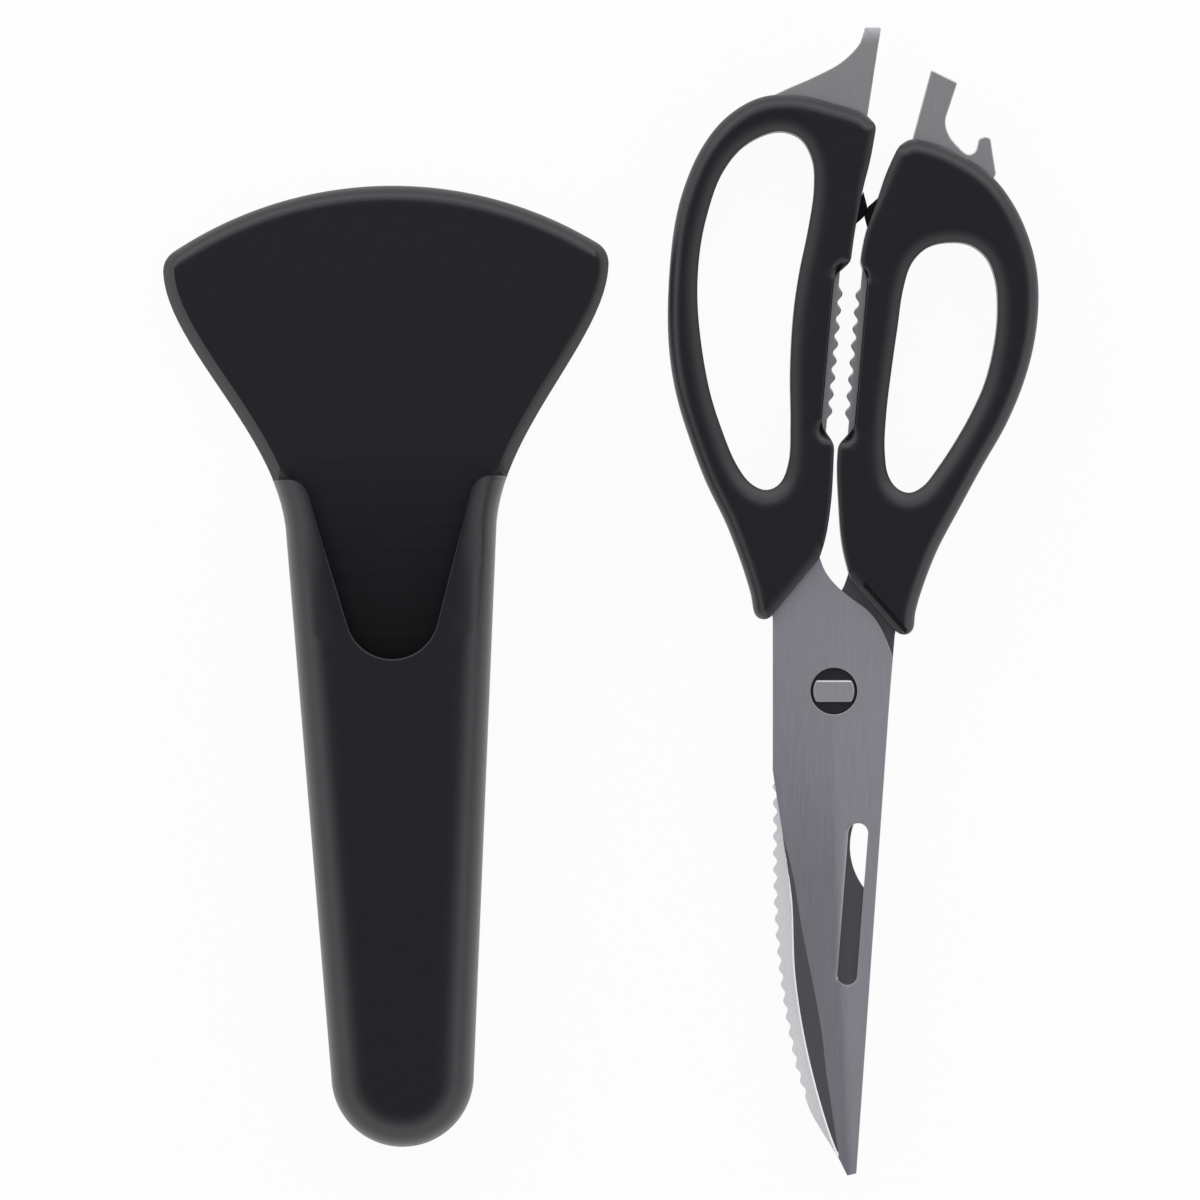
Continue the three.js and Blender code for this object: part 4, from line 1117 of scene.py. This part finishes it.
for name in ("upper_left_magnet", "upper_right_magnet", "lower_magnet"):
    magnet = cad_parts[name]
    magnet.data.materials.clear()
    magnet.data.materials.append(MAGNET)


# Stage

FLOOR_HALF = 4.0
FLOOR_GAP = 0.0002  # below the part
FLOOR_COLOUR = (0.8, 0.8, 0.8, 1)
FLOOR_ROUGHNESS = 0.9
WHITE_SHARE = 0.95  # share of plain white in the floor that is seen; the rest takes shadows


def seen_directly(tree):
    """1 for rays from the camera, a mirror-like surface or glass."""
    path = tree.nodes.new("ShaderNodeLightPath")
    names = ("Is Camera Ray", "Is Glossy Ray", "Is Transmission Ray")
    total = path.outputs[names[0]]
    for name in names[1:]:
        most = tree.nodes.new("ShaderNodeMath")
        most.operation = "MAXIMUM"
        tree.links.new(total, most.inputs[0])
        tree.links.new(path.outputs[name], most.inputs[1])
        total = most.outputs[0]
    return total


def floor():
    h = FLOOR_HALF
    mesh = bpy.data.meshes.new("floor")
    mesh.from_pydata([(-h, -h, 0), (h, -h, 0), (h, h, 0), (-h, h, 0)], [], [(0, 1, 2, 3)])
    material = bpy.data.materials.new("floor")
    material.use_nodes = True
    tree = material.node_tree
    matte = tree.nodes["Principled BSDF"]
    matte.inputs["Base Color"].default_value = FLOOR_COLOUR
    matte.inputs["Roughness"].default_value = FLOOR_ROUGHNESS
    white = tree.nodes.new("ShaderNodeEmission")
    share = tree.nodes.new("ShaderNodeMath")
    share.operation = "MULTIPLY"
    share.inputs[1].default_value = WHITE_SHARE
    tree.links.new(seen_directly(tree), share.inputs[0])
    mix = tree.nodes.new("ShaderNodeMixShader")
    tree.links.new(share.outputs[0], mix.inputs["Fac"])
    tree.links.new(matte.outputs[0], mix.inputs[1])
    tree.links.new(white.outputs[0], mix.inputs[2])
    tree.links.new(mix.outputs[0], tree.nodes["Material Output"].inputs["Surface"])
    mesh.materials.append(material)
    plane = bpy.data.objects.new("floor", mesh)
    plane.location.z = -FLOOR_GAP
    bpy.context.scene.collection.objects.link(plane)


ZENITH = 0.3
HORIZON = 1.5
TENT_SPAN = (0.0, 0.9)  # heights on the sky between which it dims


def sky():
    """A soft tent of light: dim straight above and white towards its sides."""
    world = bpy.data.worlds.new("tent")
    bpy.context.scene.world = world
    world.use_nodes = True
    tree = world.node_tree
    light = tree.nodes["Background"]
    place = tree.nodes.new("ShaderNodeTexCoord")
    split = tree.nodes.new("ShaderNodeSeparateXYZ")
    tree.links.new(place.outputs["Generated"], split.inputs[0])
    level = tree.nodes.new("ShaderNodeMapRange")
    level.interpolation_type = "SMOOTHSTEP"
    keys = ("From Min", "From Max", "To Min", "To Max")
    for key, value in zip(keys, (*TENT_SPAN, HORIZON, ZENITH)):
        level.inputs[key].default_value = value
    tree.links.new(split.outputs["Z"], level.inputs["Value"])
    tree.links.new(level.outputs["Result"], light.inputs["Strength"])
    light.inputs["Color"].default_value = (1, 1, 1, 1)


def lamp(name, place, size, power):
    data = bpy.data.lights.new(name, "AREA")
    data.shape = "RECTANGLE"
    data.size, data.size_y = size
    data.energy = power
    made = bpy.data.objects.new(name, data)
    made.location = place
    made.rotation_euler = (-Vector(place)).to_track_quat("-Z", "Y").to_euler()
    bpy.context.scene.collection.objects.link(made)


SOFTBOX_PLACE = (0, 1.35, 1.05)
SOFTBOX_SIZE = (4.4, 1.8)
SOFTBOX_POWER = 21
VIEW_MIDDLE = (-0.00004, 0.00032)
VIEW_WIDTH = 0.2613
VIEW_LEVEL = 0.006
CAMERA_HEIGHT = 3.0


def camera():
    data = bpy.data.cameras.new("camera")
    data.lens = data.sensor_width * (CAMERA_HEIGHT - VIEW_LEVEL) / VIEW_WIDTH
    made = bpy.data.objects.new("camera", data)
    made.location = (*VIEW_MIDDLE, CAMERA_HEIGHT)
    bpy.context.scene.collection.objects.link(made)
    bpy.context.scene.camera = made


floor()
sky()
lamp("softbox", SOFTBOX_PLACE, SOFTBOX_SIZE, SOFTBOX_POWER)
camera()
bpy.context.scene.view_settings.view_transform = "Standard"
